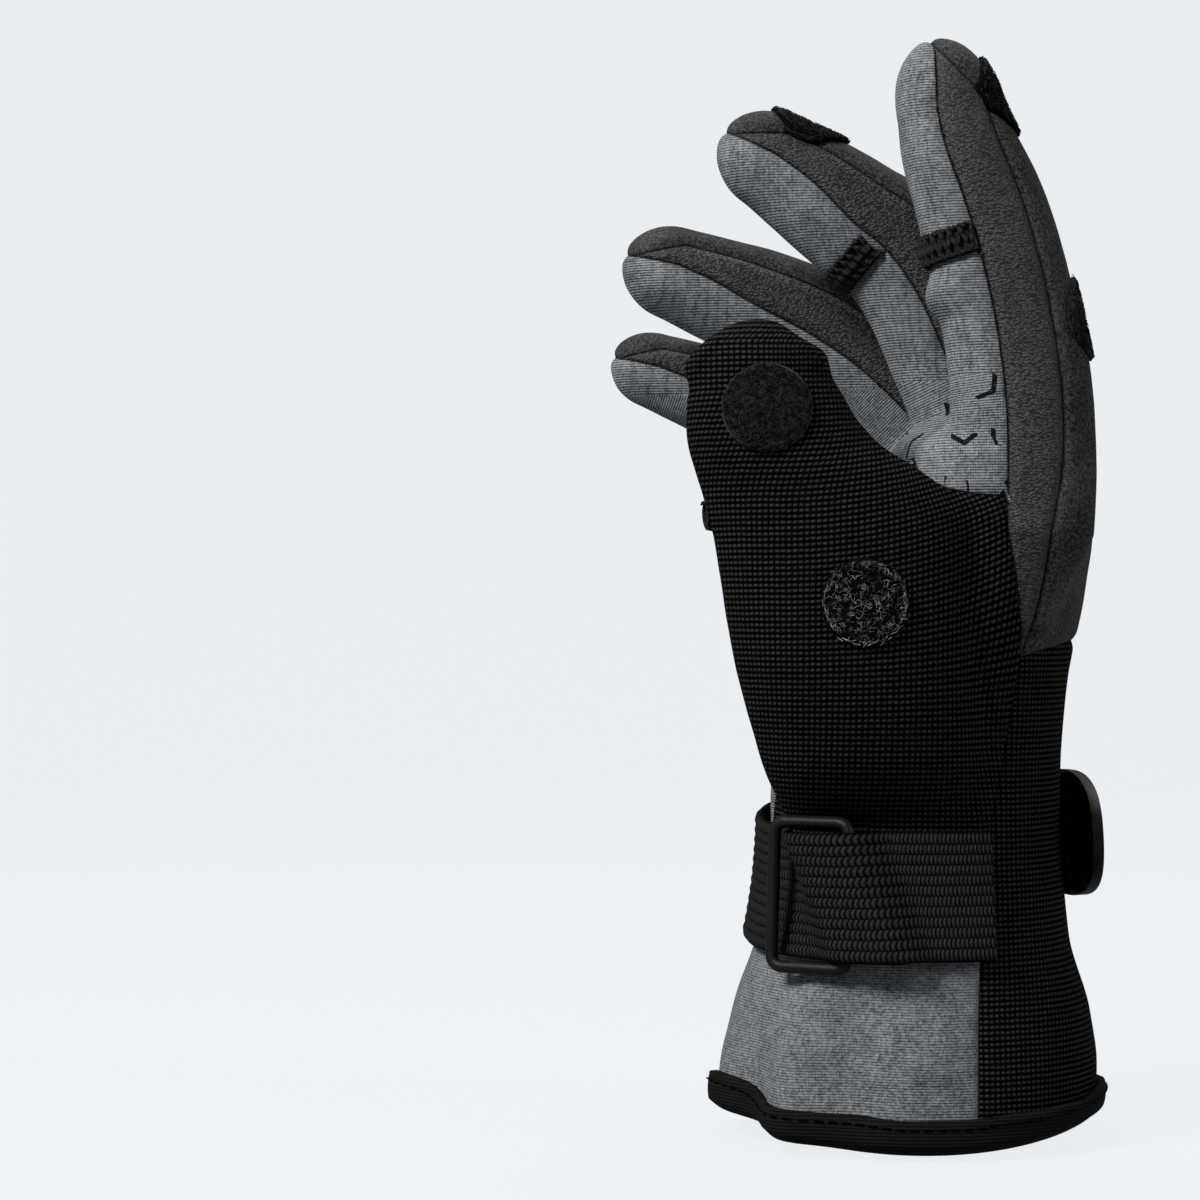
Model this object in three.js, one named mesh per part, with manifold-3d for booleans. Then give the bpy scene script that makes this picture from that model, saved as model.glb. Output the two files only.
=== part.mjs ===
// A right-hand fold-back fishing glove, in the shape that it has on a hand: index finger up, the other
// fingers curling, thumb apart. It is sewn from stretch panels: a grey palm, a black back, grained
// strips up the finger sides, and a ribbed gusset for the thumb. The tips of the thumb, index and
// middle fingers open at a slit and fold back onto hook-and-loop dots. An elastic strap with a ring
// closes the wrist, and a binding runs round the hem.
// Millimetres. +Z is up to the fingertips, +X to the back of the hand, -Y to the thumb side.
// The origin is the middle of the hand opening, level with the lowest point of the hem.
import * as THREE from "three";
import { mergeVertices } from "three/addons/utils/BufferGeometryUtils.js";
import Module from "manifold-3d";

const wasm = await Module();
wasm.setup();

// Cloth and clearances
const wall = 2.4; // padded stretch fabric
const seamGap = 0.4; // between two panels at a seam
const layGap = 0.3; // between a piece and the cloth that it lies on
const slitWidth = 1.4; // opening under each fold-back tip
const crumb = 0.15; // smallest edge that is kept

// The hand part
const handHeight = 150; // hem to the roots of the fingers
const cuffDepth = 79; // palm to back, at the hem
const cuffBreadth = 86; // thumb side to little-finger side, at the hem
const wristDepth = 61;
const wristBreadth = 68;
const palmDepth = 50;
const palmBreadth = 94;
const knuckleDrop = 13; // the roots of the fingers lie this much lower at the little finger
const hemDip = 4.8; // the hem hangs this much lower at its two sides than at palm and back

// The fingers: breadth across the knuckles, thickness from palm to back, and the reach of the path
const fingerGap = 0.5;
const indexBreadth = 25;
const indexThickness = 27;
const indexLength = 100;
const middleBreadth = 24.5;
const middleThickness = 27;
const middleLength = 100;
const ringBreadth = 23.5;
const ringThickness = 25.5;
const ringLength = 100;
const littleBreadth = 20.5;
const littleThickness = 22;
const littleLength = 100;

// The thumb, built in level slices from the wrist to its tip
const thumbFoot = 62; // height of its lowest slice
const thumbHeight = 95; // lowest slice to the start of its round tip
const thumbWidth = 54; // across the ball of the thumb and the web
const thumbThickness = 34;
const thumbTipLength = 11.5;

// Trims
const strapWidth = 25.4;
const strapThickness = 1.8;
const strapSeat = 0.4; // the strap bridges the hollow of the wrist by this much
const strapHeight = 50.8; // middle of the strap above the origin, on the thumb side
const strapClimb = 10.2; // rise of the strap on its way round to the back
const strapStart = 68; // degrees round the wrist from the back, by the thumb side, to its sewn end
const strapEnd = 352; // the same, to the end that carries the tab
const tabLength = 23;
const tabWidth = 27;
const tabThickness = 2.2;
const tabLap = 5; // how much of the tab lies on the strap
const tabLift = 5; // how far its free end stands off
const ringBar = 2.6; // round bar of the wrist ring
const ringWindow = 11; // clear width of the ring, along the strap
const ringPlay = 0.8; // between an edge of the strap and the ring
const ringBearing = 128; // degrees round the wrist to the middle of the ring
const ringLean = 15; // degrees that it leans round to the palm
const ringTilt = 10; // degrees that its upper end stands off
const ringSeat = 1; // room under it for the hollow of the wrist
const bindingHeight = 8;
const bindingThickness = 1.2;
const dotDiameter = 18;
const dotThickness = 1.2;
const slitTrimWidth = 5.6;
const slitTrimThickness = 1.3;

// Facets of the outside and of the inside of the cloth
const outerFacets = { handSides: 28, handRings: 12, fingerSides: 14, fingerRings: 8, tipRings: 3, thumbSides: 16, thumbRings: 11 };
const innerFacets = { handSides: 28, handRings: 6, fingerSides: 8, fingerRings: 5, tipRings: 2, thumbSides: 10, thumbRings: 6 };

// A table of rows with named columns, as objects.
const table = (columns, rows) =>
  rows.map((row) => Object.fromEntries(columns.split(" ").map((name, i) => [name, row[i]])));

// The value of every column of a table at share t of the way down it, on a smooth curve through the rows.
function sampleRows(rows, t) {
  const place = t * (rows.length - 1);
  const at = Math.min(Math.floor(place), rows.length - 2);
  const f = place - at;
  const sampled = {};
  for (const name of Object.keys(rows[0])) {
    const [a, b, c, d] = [-1, 0, 1, 2].map(
      (step) => rows[THREE.MathUtils.clamp(at + step, 0, rows.length - 1)][name],
    );
    sampled[name] =
      b + 0.5 * f * (c - a + f * (2 * a - 5 * b + 4 * c - d + f * (3 * (b - c) + d - a)));
  }
  return sampled;
}

// Height is a share of handHeight, and back and side move the middle of a section, as shares of
// palmDepth and palmBreadth. Square is the exponent of the outline: 2 is an ellipse.
const handRows = table("rise depth breadth back side square", [
  [0.0, cuffDepth, cuffBreadth, 0.0, 0.0, 2.1],
  [0.093, 0.995 * cuffDepth, 0.975 * cuffBreadth, 0.005, 0.0, 2.1],
  [0.18, 0.94 * cuffDepth, 0.93 * cuffBreadth, 0.012, 0.0, 2.15],
  [0.253, 1.09 * wristDepth, 1.12 * wristBreadth, 0.018, 0.0, 2.2],
  [0.333, 1.03 * wristDepth, 1.03 * wristBreadth, 0.026, 0.0, 2.2],
  [0.413, 1.0 * wristDepth, wristBreadth, 0.027, 0.0, 2.2],
  [0.493, wristDepth, 1.03 * wristBreadth, 0.03, 0.002, 2.2],
  [0.573, 0.977 * wristDepth, 1.11 * wristBreadth, 0.056, 0.003, 2.25],
  [0.653, 1.12 * palmDepth, 0.885 * palmBreadth, 0.115, 0.005, 2.3],
  [0.733, 1.05 * palmDepth, 0.948 * palmBreadth, 0.195, 0.005, 2.4],
  [0.813, 0.975 * palmDepth, 0.99 * palmBreadth, 0.262, 0.005, 2.5],
  [0.893, 0.905 * palmDepth, palmBreadth, 0.302, 0.005, 2.5],
  [0.96, 0.8 * palmDepth, 0.97 * palmBreadth, 0.32, 0.0, 2.5],
  [1.0, 0.5 * palmDepth, 0.85 * palmBreadth, 0.32, -0.01, 2.4],
]);

// Soft folds of the cuff. Bearing is in degrees from the back of the hand, round by the thumb side;
// depth is a share of the wall, and low and high are shares of handHeight.
const foldRows = table("bearing spread depth low high", [
  [118, 13, 0.55, 0.02, 0.3],
  [146, 11, -0.6, 0.0, 0.28],
  [168, 10, 0.75, 0.0, 0.22],
  [205, 16, -0.5, 0.03, 0.28],
  [250, 15, 0.5, 0.0, 0.26],
  [312, 18, -0.35, 0.02, 0.25],
]);

// Forward and rise are shares of the finger's length, girth of its thickness. The two seams of the
// side strip lie off the middle line by shares of the thickness, towards the back where positive.
const columns = "forward rise girth palmSeam backSeam";
const fingers = [
  {
    name: "index",
    breadth: indexBreadth,
    thickness: indexThickness,
    length: indexLength,
    knuckle: [0.38 * palmDepth, 0.84 * handHeight],
    tip: 15,
    tail: true,
    rows: table(columns, [
      [0.0, 0.0, 1.155, -0.11, 0.22],
      [-0.011, 0.14, 1.126, -0.145, 0.267],
      [-0.009, 0.28, 1.074, -0.163, 0.267],
      [0.012, 0.42, 1.03, -0.155, 0.274],
      [0.043, 0.55, 1.01, -0.145, 0.28],
      [0.078, 0.67, 0.96, -0.148, 0.274],
      [0.116, 0.77, 0.872, -0.14, 0.27],
      [0.138, 0.85, 0.775, -0.125, 0.26],
    ]),
  },
  {
    name: "middle",
    breadth: middleBreadth,
    thickness: middleThickness,
    length: middleLength,
    knuckle: [0.36 * palmDepth, 0.907 * handHeight],
    tip: 12,
    rows: table(columns, [
      [0.0, 0.0, 1.126, -0.11, 0.3],
      [0.035, 0.14, 1.052, -0.11, 0.3],
      [0.085, 0.26, 1.007, -0.11, 0.3],
      [0.145, 0.395, 0.993, -0.11, 0.3],
      [0.215, 0.497, 0.993, -0.11, 0.3],
      [0.295, 0.554, 0.963, -0.08, 0.3],
      [0.392, 0.623, 0.874, 0.0, 0.29],
      [0.475, 0.677, 0.756, 0.03, 0.24],
    ]),
  },
  {
    name: "ring",
    breadth: ringBreadth,
    thickness: ringThickness,
    length: ringLength,
    knuckle: [0.4 * palmDepth, 0.88 * handHeight],
    tip: 12,
    rows: table(columns, [
      [0.0, 0.0, 1.145, -0.11, 0.3],
      [0.08, 0.11, 1.08, -0.11, 0.3],
      [0.18, 0.22, 1.035, -0.11, 0.3],
      [0.28, 0.315, 1.01, -0.11, 0.3],
      [0.39, 0.388, 0.99, -0.1, 0.3],
      [0.52, 0.443, 0.95, -0.05, 0.3],
      [0.61, 0.476, 0.88, 0.02, 0.28],
      [0.69, 0.506, 0.8, 0.05, 0.24],
    ]),
  },
  {
    name: "little",
    breadth: littleBreadth,
    thickness: littleThickness,
    length: littleLength,
    knuckle: [0.28 * palmDepth, 0.847 * handHeight],
    tip: 10.5,
    tail: true,
    rows: table(columns, [
      [0.0, 0.0, 1.145, -0.11, 0.25],
      [0.08, 0.07, 1.09, -0.11, 0.28],
      [0.19, 0.145, 1.036, -0.11, 0.3],
      [0.3, 0.205, 1.0, -0.11, 0.3],
      [0.41, 0.257, 0.964, -0.08, 0.3],
      [0.52, 0.303, 0.918, -0.03, 0.3],
      [0.6, 0.334, 0.855, 0.02, 0.28],
      [0.67, 0.358, 0.78, 0.04, 0.24],
    ]),
  },
];

// Level slices of the thumb and its ball: height as a share of thumbHeight, the two ends as shares
// of thumbWidth, and side and thick as shares of thumbThickness.
const thumbRows = table("rise front rear side thick", [
  [0.0, -0.46, 0.28, -0.44, 0.64],
  [0.14, -0.575, 0.28, -0.71, 1.06],
  [0.225, -0.622, 0.26, -0.82, 1.12],
  [0.31, -0.668, 0.24, -0.91, 1.12],
  [0.395, -0.707, 0.225, -0.97, 1.12],
  [0.48, -0.74, 0.22, -1.03, 1.06],
  [0.57, -0.763, 0.22, -1.06, 1.03],
  [0.655, -0.787, 0.232, -1.09, 1.0],
  [0.715, -0.816, 0.2, -1.12, 0.94],
  [0.765, -0.842, 0.1, -1.13, 0.91],
  [0.8, -0.862, -0.015, -1.15, 0.88],
  [0.842, -0.882, -0.145, -1.16, 0.85],
  [0.895, -0.892, -0.239, -1.18, 0.81],
  [0.95, -0.887, -0.298, -1.18, 0.78],
  [1.0, -0.87, -0.352, -1.18, 0.72],
]);

// Fingers stand side by side from the thumb side of the palm, each in its own plane of constant Y.
const handMiddle = 0.005 * palmBreadth;
const rowBreadth =
  fingers.reduce((sum, finger) => sum + finger.breadth, 0) + fingerGap * (fingers.length - 1);
let edge = handMiddle - rowBreadth / 2;
for (const finger of fingers) {
  finger.low = edge - fingerGap / 2;
  finger.middle = edge + finger.breadth / 2;
  edge += finger.breadth + fingerGap;
  finger.high = edge - fingerGap / 2;
}
const [index, middle, ring, little] = fingers;
const outside = 2 * palmBreadth; // beyond every surface, for cutting solids
const bindingRise = bindingHeight / handHeight;

// A point of a rounded outline: half sizes, exponent and angle.
function roundPoint(halfX, halfY, square, angle) {
  const c = Math.cos(angle);
  const s = Math.sin(angle);
  const reach = (Math.abs(c) ** square + Math.abs(s) ** square) ** (-1 / square);
  return [halfX * reach * c, halfY * reach * s];
}

// How far the folds of the cuff push its surface out, at a bearing and a share of handHeight.
function foldAt(bearing, rise) {
  let push = 0;
  for (const fold of foldRows) {
    const away = (((bearing - fold.bearing + 540) % 360) - 180) / fold.spread;
    const along = THREE.MathUtils.clamp((rise - fold.low) / (fold.high - fold.low), 0, 1);
    const fade = rise < fold.low || rise > fold.high ? 0 : Math.cos((along * Math.PI) / 2) ** 2;
    push += fold.depth * wall * Math.exp(-away * away) * fade;
  }
  return push;
}

// A point of the hand part, off its surface by offset. Bearing 0 is the back and 90 the thumb side.
function handPoint(rise, bearing, offset) {
  const section = sampleRows(handRows, riseToShare(rise));
  const angle = THREE.MathUtils.degToRad(bearing);
  const push = offset + foldAt(bearing, rise);
  const [x, y] = roundPoint(section.depth / 2 + push, section.breadth / 2 + push, section.square, angle);
  const lift = hemDip * Math.cos(angle) ** 2 * Math.max(0, 1 - rise / 0.2) ** 2;
  const bindingFoot = (layGap + bindingThickness) * (1 - rise);
  const outward = THREE.MathUtils.smoothstep(-y / palmBreadth, -0.05, 0.5);
  const drop = knuckleDrop * outward * THREE.MathUtils.smoothstep(rise, 0.7, 1.05);
  return new THREE.Vector3(
    section.back * palmDepth + x,
    section.side * palmBreadth - y,
    bindingFoot + rise * handHeight + lift - drop,
  );
}

// The share of the way down handRows at which a rise lies.
function riseToShare(rise) {
  let low = 0;
  while (low < handRows.length - 2 && handRows[low + 1].rise < rise) low++;
  const span = handRows[low + 1].rise - handRows[low].rise;
  return THREE.MathUtils.clamp((low + (rise - handRows[low].rise) / span) / (handRows.length - 1), 0, 1);
}

function handRing(rise, offset, sides) {
  return Array.from({ length: sides }, (_, i) => handPoint(rise, (-360 * i) / sides, offset));
}

// A finger's middle line, its direction to the back of the hand, and its half sizes at share t.
function fingerStation(finger, t) {
  const row = sampleRows(finger.rows, t);
  const centre = fingerCentre(finger, t);
  const ahead = fingerCentre(finger, Math.min(t + 0.01, 1));
  const behind = fingerCentre(finger, Math.max(t - 0.01, 0));
  const along = ahead.sub(behind).normalize();
  const back = new THREE.Vector3(along.z, 0, -along.x);
  return { row, centre, along, back };
}

function fingerCentre(finger, t) {
  const row = sampleRows(finger.rows, t);
  const [x, z] = finger.knuckle;
  return new THREE.Vector3(
    x - row.forward * finger.length,
    finger.middle,
    z + row.rise * finger.length,
  );
}

// Rings of a finger from inside the palm to its round tip.
function fingerRingsOf(finger, offset, { fingerSides, fingerRings, tipRings }) {
  const rings = [];
  const addRing = ({ row, centre, along, back }, ahead, shrink) => {
    const through = ((row.girth * finger.thickness) / 2 + offset) * shrink;
    const across = (finger.breadth / 2 + offset) * shrink * Math.min(1, row.girth + 0.1);
    rings.push(
      Array.from({ length: fingerSides }, (_, i) => {
        const [x, y] = roundPoint(through, across, 2.2, (2 * Math.PI * i) / fingerSides);
        return centre
          .clone()
          .addScaledVector(along, ahead)
          .addScaledVector(back, x)
          .add(new THREE.Vector3(0, y, 0));
      }),
    );
  };
  addRing(fingerStation(finger, 0), -0.75 * finger.thickness, 0.55);
  for (let i = 0; i < fingerRings; i++) addRing(fingerStation(finger, i / (fingerRings - 1)), 0, 1);
  const end = fingerStation(finger, 1);
  for (let i = 1; i <= tipRings; i++) {
    const angle = ((Math.PI / 2) * i) / (tipRings + 0.35);
    addRing(end, (finger.tip + offset) * Math.sin(angle), Math.cos(angle));
  }
  return rings;
}

// A level slice of the thumb at share t.
function thumbSlice(t, offset, shrink, lift, thumbSides) {
  const row = sampleRows(thumbRows, t);
  const centreX = ((row.front + row.rear) / 2) * thumbWidth;
  const halfX = ((row.rear - row.front) / 2) * thumbWidth + offset;
  const halfY = (row.thick * thumbThickness) / 2 + offset;
  const z = thumbFoot + row.rise * thumbHeight + lift;
  return Array.from({ length: thumbSides }, (_, i) => {
    const [x, y] = roundPoint(halfX * shrink, halfY * shrink, 2.15, (2 * Math.PI * i) / thumbSides);
    return new THREE.Vector3(centreX + x, row.side * thumbThickness + y, z);
  });
}

function thumbRingsOf(offset, { thumbSides, thumbRings, tipRings }) {
  const rings = [];
  for (let i = 0; i < thumbRings; i++) rings.push(thumbSlice(i / (thumbRings - 1), offset, 1, 0, thumbSides));
  for (let i = 1; i <= tipRings; i++) {
    const angle = ((Math.PI / 2) * i) / (tipRings + 0.35);
    rings.push(thumbSlice(1, offset, Math.cos(angle), (thumbTipLength + offset) * Math.sin(angle), thumbSides));
  }
  return rings;
}

// Closed skin through rings of equal count, with a fan over each end.
function skin(rings) {
  const sides = rings[0].length;
  const positions = [];
  const triangles = [];
  const middleOf = (points) =>
    points.reduce((sum, p) => sum.add(p), new THREE.Vector3()).divideScalar(points.length);
  for (const points of rings) for (const p of points) positions.push(p.x, p.y, p.z);
  const first = middleOf(rings[0]);
  const last = middleOf(rings[rings.length - 1]);
  const firstAt = positions.length / 3;
  positions.push(first.x, first.y, first.z, last.x, last.y, last.z);
  const top = (rings.length - 1) * sides;
  for (let i = 0; i < sides; i++) {
    const next = (i + 1) % sides;
    triangles.push(firstAt, next, i, firstAt + 1, top + i, top + next);
    for (let r = 0; r < rings.length - 1; r++) {
      const low = r * sides;
      triangles.push(low + i, low + next, low + sides + next, low + i, low + sides + next, low + sides + i);
    }
  }
  return new THREE.BufferGeometry()
    .setAttribute("position", new THREE.Float32BufferAttribute(positions, 3))
    .setIndex(triangles);
}

// Closed skin through rings of equal count that come round to the first ring again.
function loop(rings) {
  const sides = rings[0].length;
  const positions = [];
  const triangles = [];
  for (const points of rings) for (const p of points) positions.push(p.x, p.y, p.z);
  for (let r = 0; r < rings.length; r++) {
    const low = r * sides;
    const high = ((r + 1) % rings.length) * sides;
    for (let i = 0; i < sides; i++) {
      const next = (i + 1) % sides;
      triangles.push(low + i, low + next, high + next, low + i, high + next, high + i);
    }
  }
  return new THREE.BufferGeometry()
    .setAttribute("position", new THREE.Float32BufferAttribute(positions, 3))
    .setIndex(triangles);
}

// A three.js geometry as a solid for cutting and joining.
function solid(geometry, near = 1e-4) {
  const bare = geometry.clone();
  bare.deleteAttribute("normal");
  bare.deleteAttribute("uv");
  const merged = mergeVertices(bare, near);
  const triVerts = new Uint32Array(merged.index.array);
  const vertProperties = merged.attributes.position.array;
  const made = new wasm.Manifold(new wasm.Mesh({ numProp: 3, vertProperties, triVerts }));
  if (made.volume() > 0) return made;
  for (let i = 0; i < triVerts.length; i += 3) {
    [triVerts[i + 1], triVerts[i + 2]] = [triVerts[i + 2], triVerts[i + 1]];
  }
  return new wasm.Manifold(new wasm.Mesh({ numProp: 3, vertProperties, triVerts }));
}

const joined = (solids) => solids.reduce((all, one) => all.add(one));

// The form of a hand, off the surface of the glove by offset, with its opening run below by extra.
function form(offset, extra, facets) {
  const { handRings, handSides } = facets;
  const topRise = 1 + offset / handHeight;
  const rises = Array.from({ length: handRings - 1 }, (_, i) =>
    THREE.MathUtils.lerp(bindingRise, topRise, i / (handRings - 2)),
  );
  const rings = [0, ...rises].map((rise) => handRing(rise, offset, handSides));
  if (extra) rings.unshift(rings[0].map((p) => new THREE.Vector3(p.x, p.y, p.z - extra)));
  return joined([
    solid(skin(rings)),
    solid(skin(thumbRingsOf(offset, facets))),
    ...fingers.map((finger) => solid(skin(fingerRingsOf(finger, offset, facets)))),
  ]);
}

// A flat outline in X and Z, made solid between two values of Y.
function prism(points, low, high) {
  const shape = new THREE.Shape(points.map(([x, z]) => new THREE.Vector2(x, z)));
  const geometry = new THREE.ExtrudeGeometry(shape, { depth: high - low, bevelEnabled: false });
  geometry.rotateX(Math.PI / 2);
  geometry.translate(0, high, 0);
  return solid(geometry);
}

// A flat outline in Y and Z, made solid right across the glove.
function turned(points) {
  const shape = new THREE.Shape(points.map(([y, z]) => new THREE.Vector2(y, z)));
  const geometry = new THREE.ExtrudeGeometry(shape, { depth: 2 * outside, bevelEnabled: false });
  geometry.rotateX(Math.PI / 2);
  geometry.rotateZ(Math.PI / 2);
  geometry.translate(-outside, 0, 0);
  return solid(geometry);
}

// A thin blade along a line in X and Z, which parts two panels at a seam.
function blade(points, low, high, width = seamGap) {
  const sides = points.map(([x, z], i) => {
    const [ax, az] = points[Math.max(i - 1, 0)];
    const [bx, bz] = points[Math.min(i + 1, points.length - 1)];
    const length = Math.hypot(bx - ax, bz - az);
    const [nx, nz] = [(-(bz - az) / length) * (width / 2), ((bx - ax) / length) * (width / 2)];
    return [
      [x + nx, z + nz],
      [x - nx, z - nz],
    ];
  });
  return prism([...sides.map((s) => s[0]), ...sides.map((s) => s[1]).reverse()], low, high);
}

const smooth = (points, count) =>
  new THREE.SplineCurve(points.map(([x, z]) => new THREE.Vector2(x, z)))
    .getPoints(count)
    .map((p) => [p.x, p.y]);

// Seams. On the thumb side, one seam runs down the wrist from the foot of the index finger's strip
// to the hem, and its like runs down the little-finger side.
const tailX = 0.4 * palmDepth;
const tailZ = 0.667 * handHeight;
const wristSeam = smooth(
  [
    [tailX, tailZ],
    [0.345 * palmDepth, 0.54 * handHeight],
    [0.284 * palmDepth, 0.425 * handHeight],
    [0.25 * palmDepth, 0.33 * handHeight],
    [0.228 * palmDepth, 0.2 * handHeight],
    [0.22 * palmDepth, 0.05 * handHeight],
    [0.22 * palmDepth, -0.1 * handHeight],
  ],
  9,
);
const backSeam = [
  [tailX, tailZ],
  [0.66 * palmDepth, 0.688 * handHeight],
  [outside, 0.693 * handHeight],
];

// The two seams of a finger's side strip, from its foot to a point on the round tip, and the line
// between back and palm that goes on over the tip.
function stripSeams(finger) {
  const palmSide = [];
  const backSide = [];
  if (finger.tail) {
    const [x, z] = finger.knuckle;
    palmSide.push([tailX, tailZ], [(tailX + x) / 2 - 0.03 * finger.thickness, (tailZ + z) / 2]);
    backSide.push([tailX, tailZ], [(tailX + x) / 2 + 0.14 * finger.thickness, (tailZ + z) / 2]);
  }
  const steps = 7;
  for (let i = 0; i <= steps; i++) {
    const { row, centre, back } = fingerStation(finger, i / steps);
    for (const [line, share] of [
      [palmSide, row.palmSeam],
      [backSide, row.backSeam],
    ]) {
      const p = centre.clone().addScaledVector(back, share * finger.thickness);
      line.push([p.x, p.z]);
    }
  }
  const end = fingerStation(finger, 1);
  const meet = end.centre.clone().addScaledVector(end.along, 0.86 * finger.tip);
  const beyond = end.centre.clone().addScaledVector(end.along, 3 * finger.tip);
  palmSide.push([meet.x, meet.z]);
  backSide.push([meet.x, meet.z]);
  return { palmSide, backSide, overTip: [[meet.x, meet.z], [beyond.x, beyond.z]] };
}

for (const finger of fingers) Object.assign(finger, stripSeams(finger));

// Everything on the back of a finger's middle line, down to the foot of the strips.
function backOutline(finger) {
  const line = [];
  for (let i = 0; i <= 5; i++) {
    const { row, centre, back } = fingerStation(finger, i / 5);
    centre.addScaledVector(back, ((row.palmSeam + row.backSeam) / 2) * finger.thickness);
    line.push([centre.x, centre.z]);
  }
  const end = finger.overTip;
  return [[tailX, tailZ], ...line, ...end, [-outside, end[1][1]], [-outside, outside * 2], [outside, outside * 2], [outside, tailZ]];
}

// The web and outline of the ribbed thumb gusset, in X and Z, on the thumb side of its parting plane.
const webTop = 0.883 * handHeight;
const webCorner = [0.312 * palmDepth, webTop];
const webLine = smooth(
  [
    webCorner,
    [0.14 * palmDepth, 0.89 * handHeight],
    [0.0, 0.915 * handHeight],
    [-0.14 * palmDepth, 0.95 * handHeight],
    [-0.24 * palmDepth, 0.993 * handHeight],
    [-0.28 * palmDepth, 1.06 * handHeight],
    [-0.28 * palmDepth, 1.2 * handHeight],
  ],
  8,
);
const strapLine = strapHeight;
const gussetRight = [webCorner, [0.362 * palmDepth, 0.773 * handHeight], [tailX, tailZ], ...wristSeam.slice(1)].filter(
  ([, z]) => z > strapLine,
);
// The gusset's other edge runs down the inside of the thumb and the ball of the thumb: in Y and Z.
const thumbParting = -1.02 * thumbThickness;
const partingLine = [
  [thumbParting, outside],
  [thumbParting, 0.8 * handHeight],
  [-0.88 * thumbThickness, 0.69 * handHeight],
  [-0.5 * thumbThickness, 0.57 * handHeight],
  [-0.12 * thumbThickness, 0.46 * handHeight],
  [0.06 * thumbThickness, 0.38 * handHeight],
  [0.12 * thumbThickness, 0.25 * handHeight],
];
const besideParting = (shift) => turned([...partingLine.map(([y, z]) => [y + shift, z]), [-outside, 0.25 * handHeight], [-outside, outside]]);

// Cutting the glove into panels
const gussetOutline = prism(
  [...webLine, [-outside, 1.2 * handHeight], [-outside, strapLine], ...[...gussetRight].reverse()],
  -outside,
  outside,
);
const outer = form(0, 0, outerFacets);
const inner = form(-wall, handHeight, innerFacets);
const shell = outer.subtract(inner);

const blades = [
  blade(wristSeam, -outside, outside),
  blade(backSeam, -outside, outside),
  blade([[-outside, strapLine], [0.27 * palmDepth, strapLine]], -outside, outside),
  blade(webLine, -outside, thumbParting),
  blade([webCorner, [0.362 * palmDepth, 0.773 * handHeight], [tailX, tailZ]], -outside, thumbParting),
  gussetOutline.intersect(besideParting(seamGap).subtract(besideParting(0))),
];
fingers.forEach((finger, i) => {
  blades.push(blade(finger.palmSide, finger.low, finger.high));
  blades.push(blade(finger.backSide, finger.low, finger.high));
  blades.push(blade(finger.overTip, finger.low, finger.high));
  const next = fingers[i + 1];
  if (!next) return;
  const own = prism(backOutline(finger), finger.high - seamGap / 2, finger.high + seamGap / 2);
  const others = prism(backOutline(next), finger.high - seamGap, finger.high + seamGap);
  blades.push(own.subtract(others), own.add(others).subtract(own).intersect(
    prism([[-outside, -outside], [outside, -outside], [outside, 2 * outside], [-outside, 2 * outside]], finger.high - seamGap / 2, finger.high + seamGap / 2),
  ));
});

// The slit across the palm side of a digit, as the plane that it lies in.
function slitPlane(finger, t) {
  const { centre, along, back, row } = fingerStation(finger, t);
  return { centre, along, back, half: (row.girth * finger.thickness) / 2 };
}

// A slab square to a digit, from one distance along it to another, on its palm side only.
function palmSlab({ centre, along, back, half }, from, to, low, high, shallow) {
  const corner = (ahead, deep) => {
    const p = centre.clone().addScaledVector(along, ahead).addScaledVector(back, -deep);
    return [p.x, p.z];
  };
  return prism([corner(from, shallow), corner(from, 2 * half), corner(to, 2 * half), corner(to, shallow)], low, high);
}

const slits = [
  { digit: index, plane: slitPlane(index, 0.595) },
  { digit: middle, plane: slitPlane(middle, 0.595) },
];
for (const { digit, plane } of slits) {
  const shallow = 0.16 * digit.thickness;
  blades.push(palmSlab(plane, -slitWidth, 0, digit.low, digit.high, shallow));
}
const thumbSlitHeight = thumbFoot + 0.66 * thumbHeight;
blades.push(
  prism(
    [
      [-outside, thumbSlitHeight],
      [-0.2 * thumbWidth, thumbSlitHeight],
      [-0.2 * thumbWidth, thumbSlitHeight + slitWidth],
      [-outside, thumbSlitHeight + slitWidth],
    ],
    thumbParting,
    index.high - 2 * wall,
  ),
);

const cloth = blades.reduce((left, one) => left.subtract(one), shell);

const backRegion = joined(fingers.map((finger) => prism(backOutline(finger), finger.low, finger.high)));
const cuffBackRegion = prism(
  [...wristSeam, [outside, -0.1 * handHeight], [outside, 0.693 * handHeight], [0.66 * palmDepth, 0.688 * handHeight]],
  -outside,
  outside,
);
const cuffPalmRegion = prism(
  [[-outside, -outside], [0.22 * palmDepth, -outside], ...[...wristSeam].reverse().filter(([, z]) => z < strapLine), [0.25 * palmDepth, strapLine], [-outside, strapLine]],
  -outside,
  outside,
);
const thumbRegion = gussetOutline.intersect(besideParting(seamGap / 2));
const thumbTipRegion = prism(
  [
    [-0.28 * palmDepth, thumbSlitHeight + slitWidth / 2],
    [-0.28 * palmDepth, 1.2 * handHeight],
    [-outside, 1.2 * handHeight],
    [-outside, thumbSlitHeight + slitWidth / 2],
  ],
  thumbParting,
  index.high - 2 * wall,
);

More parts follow.
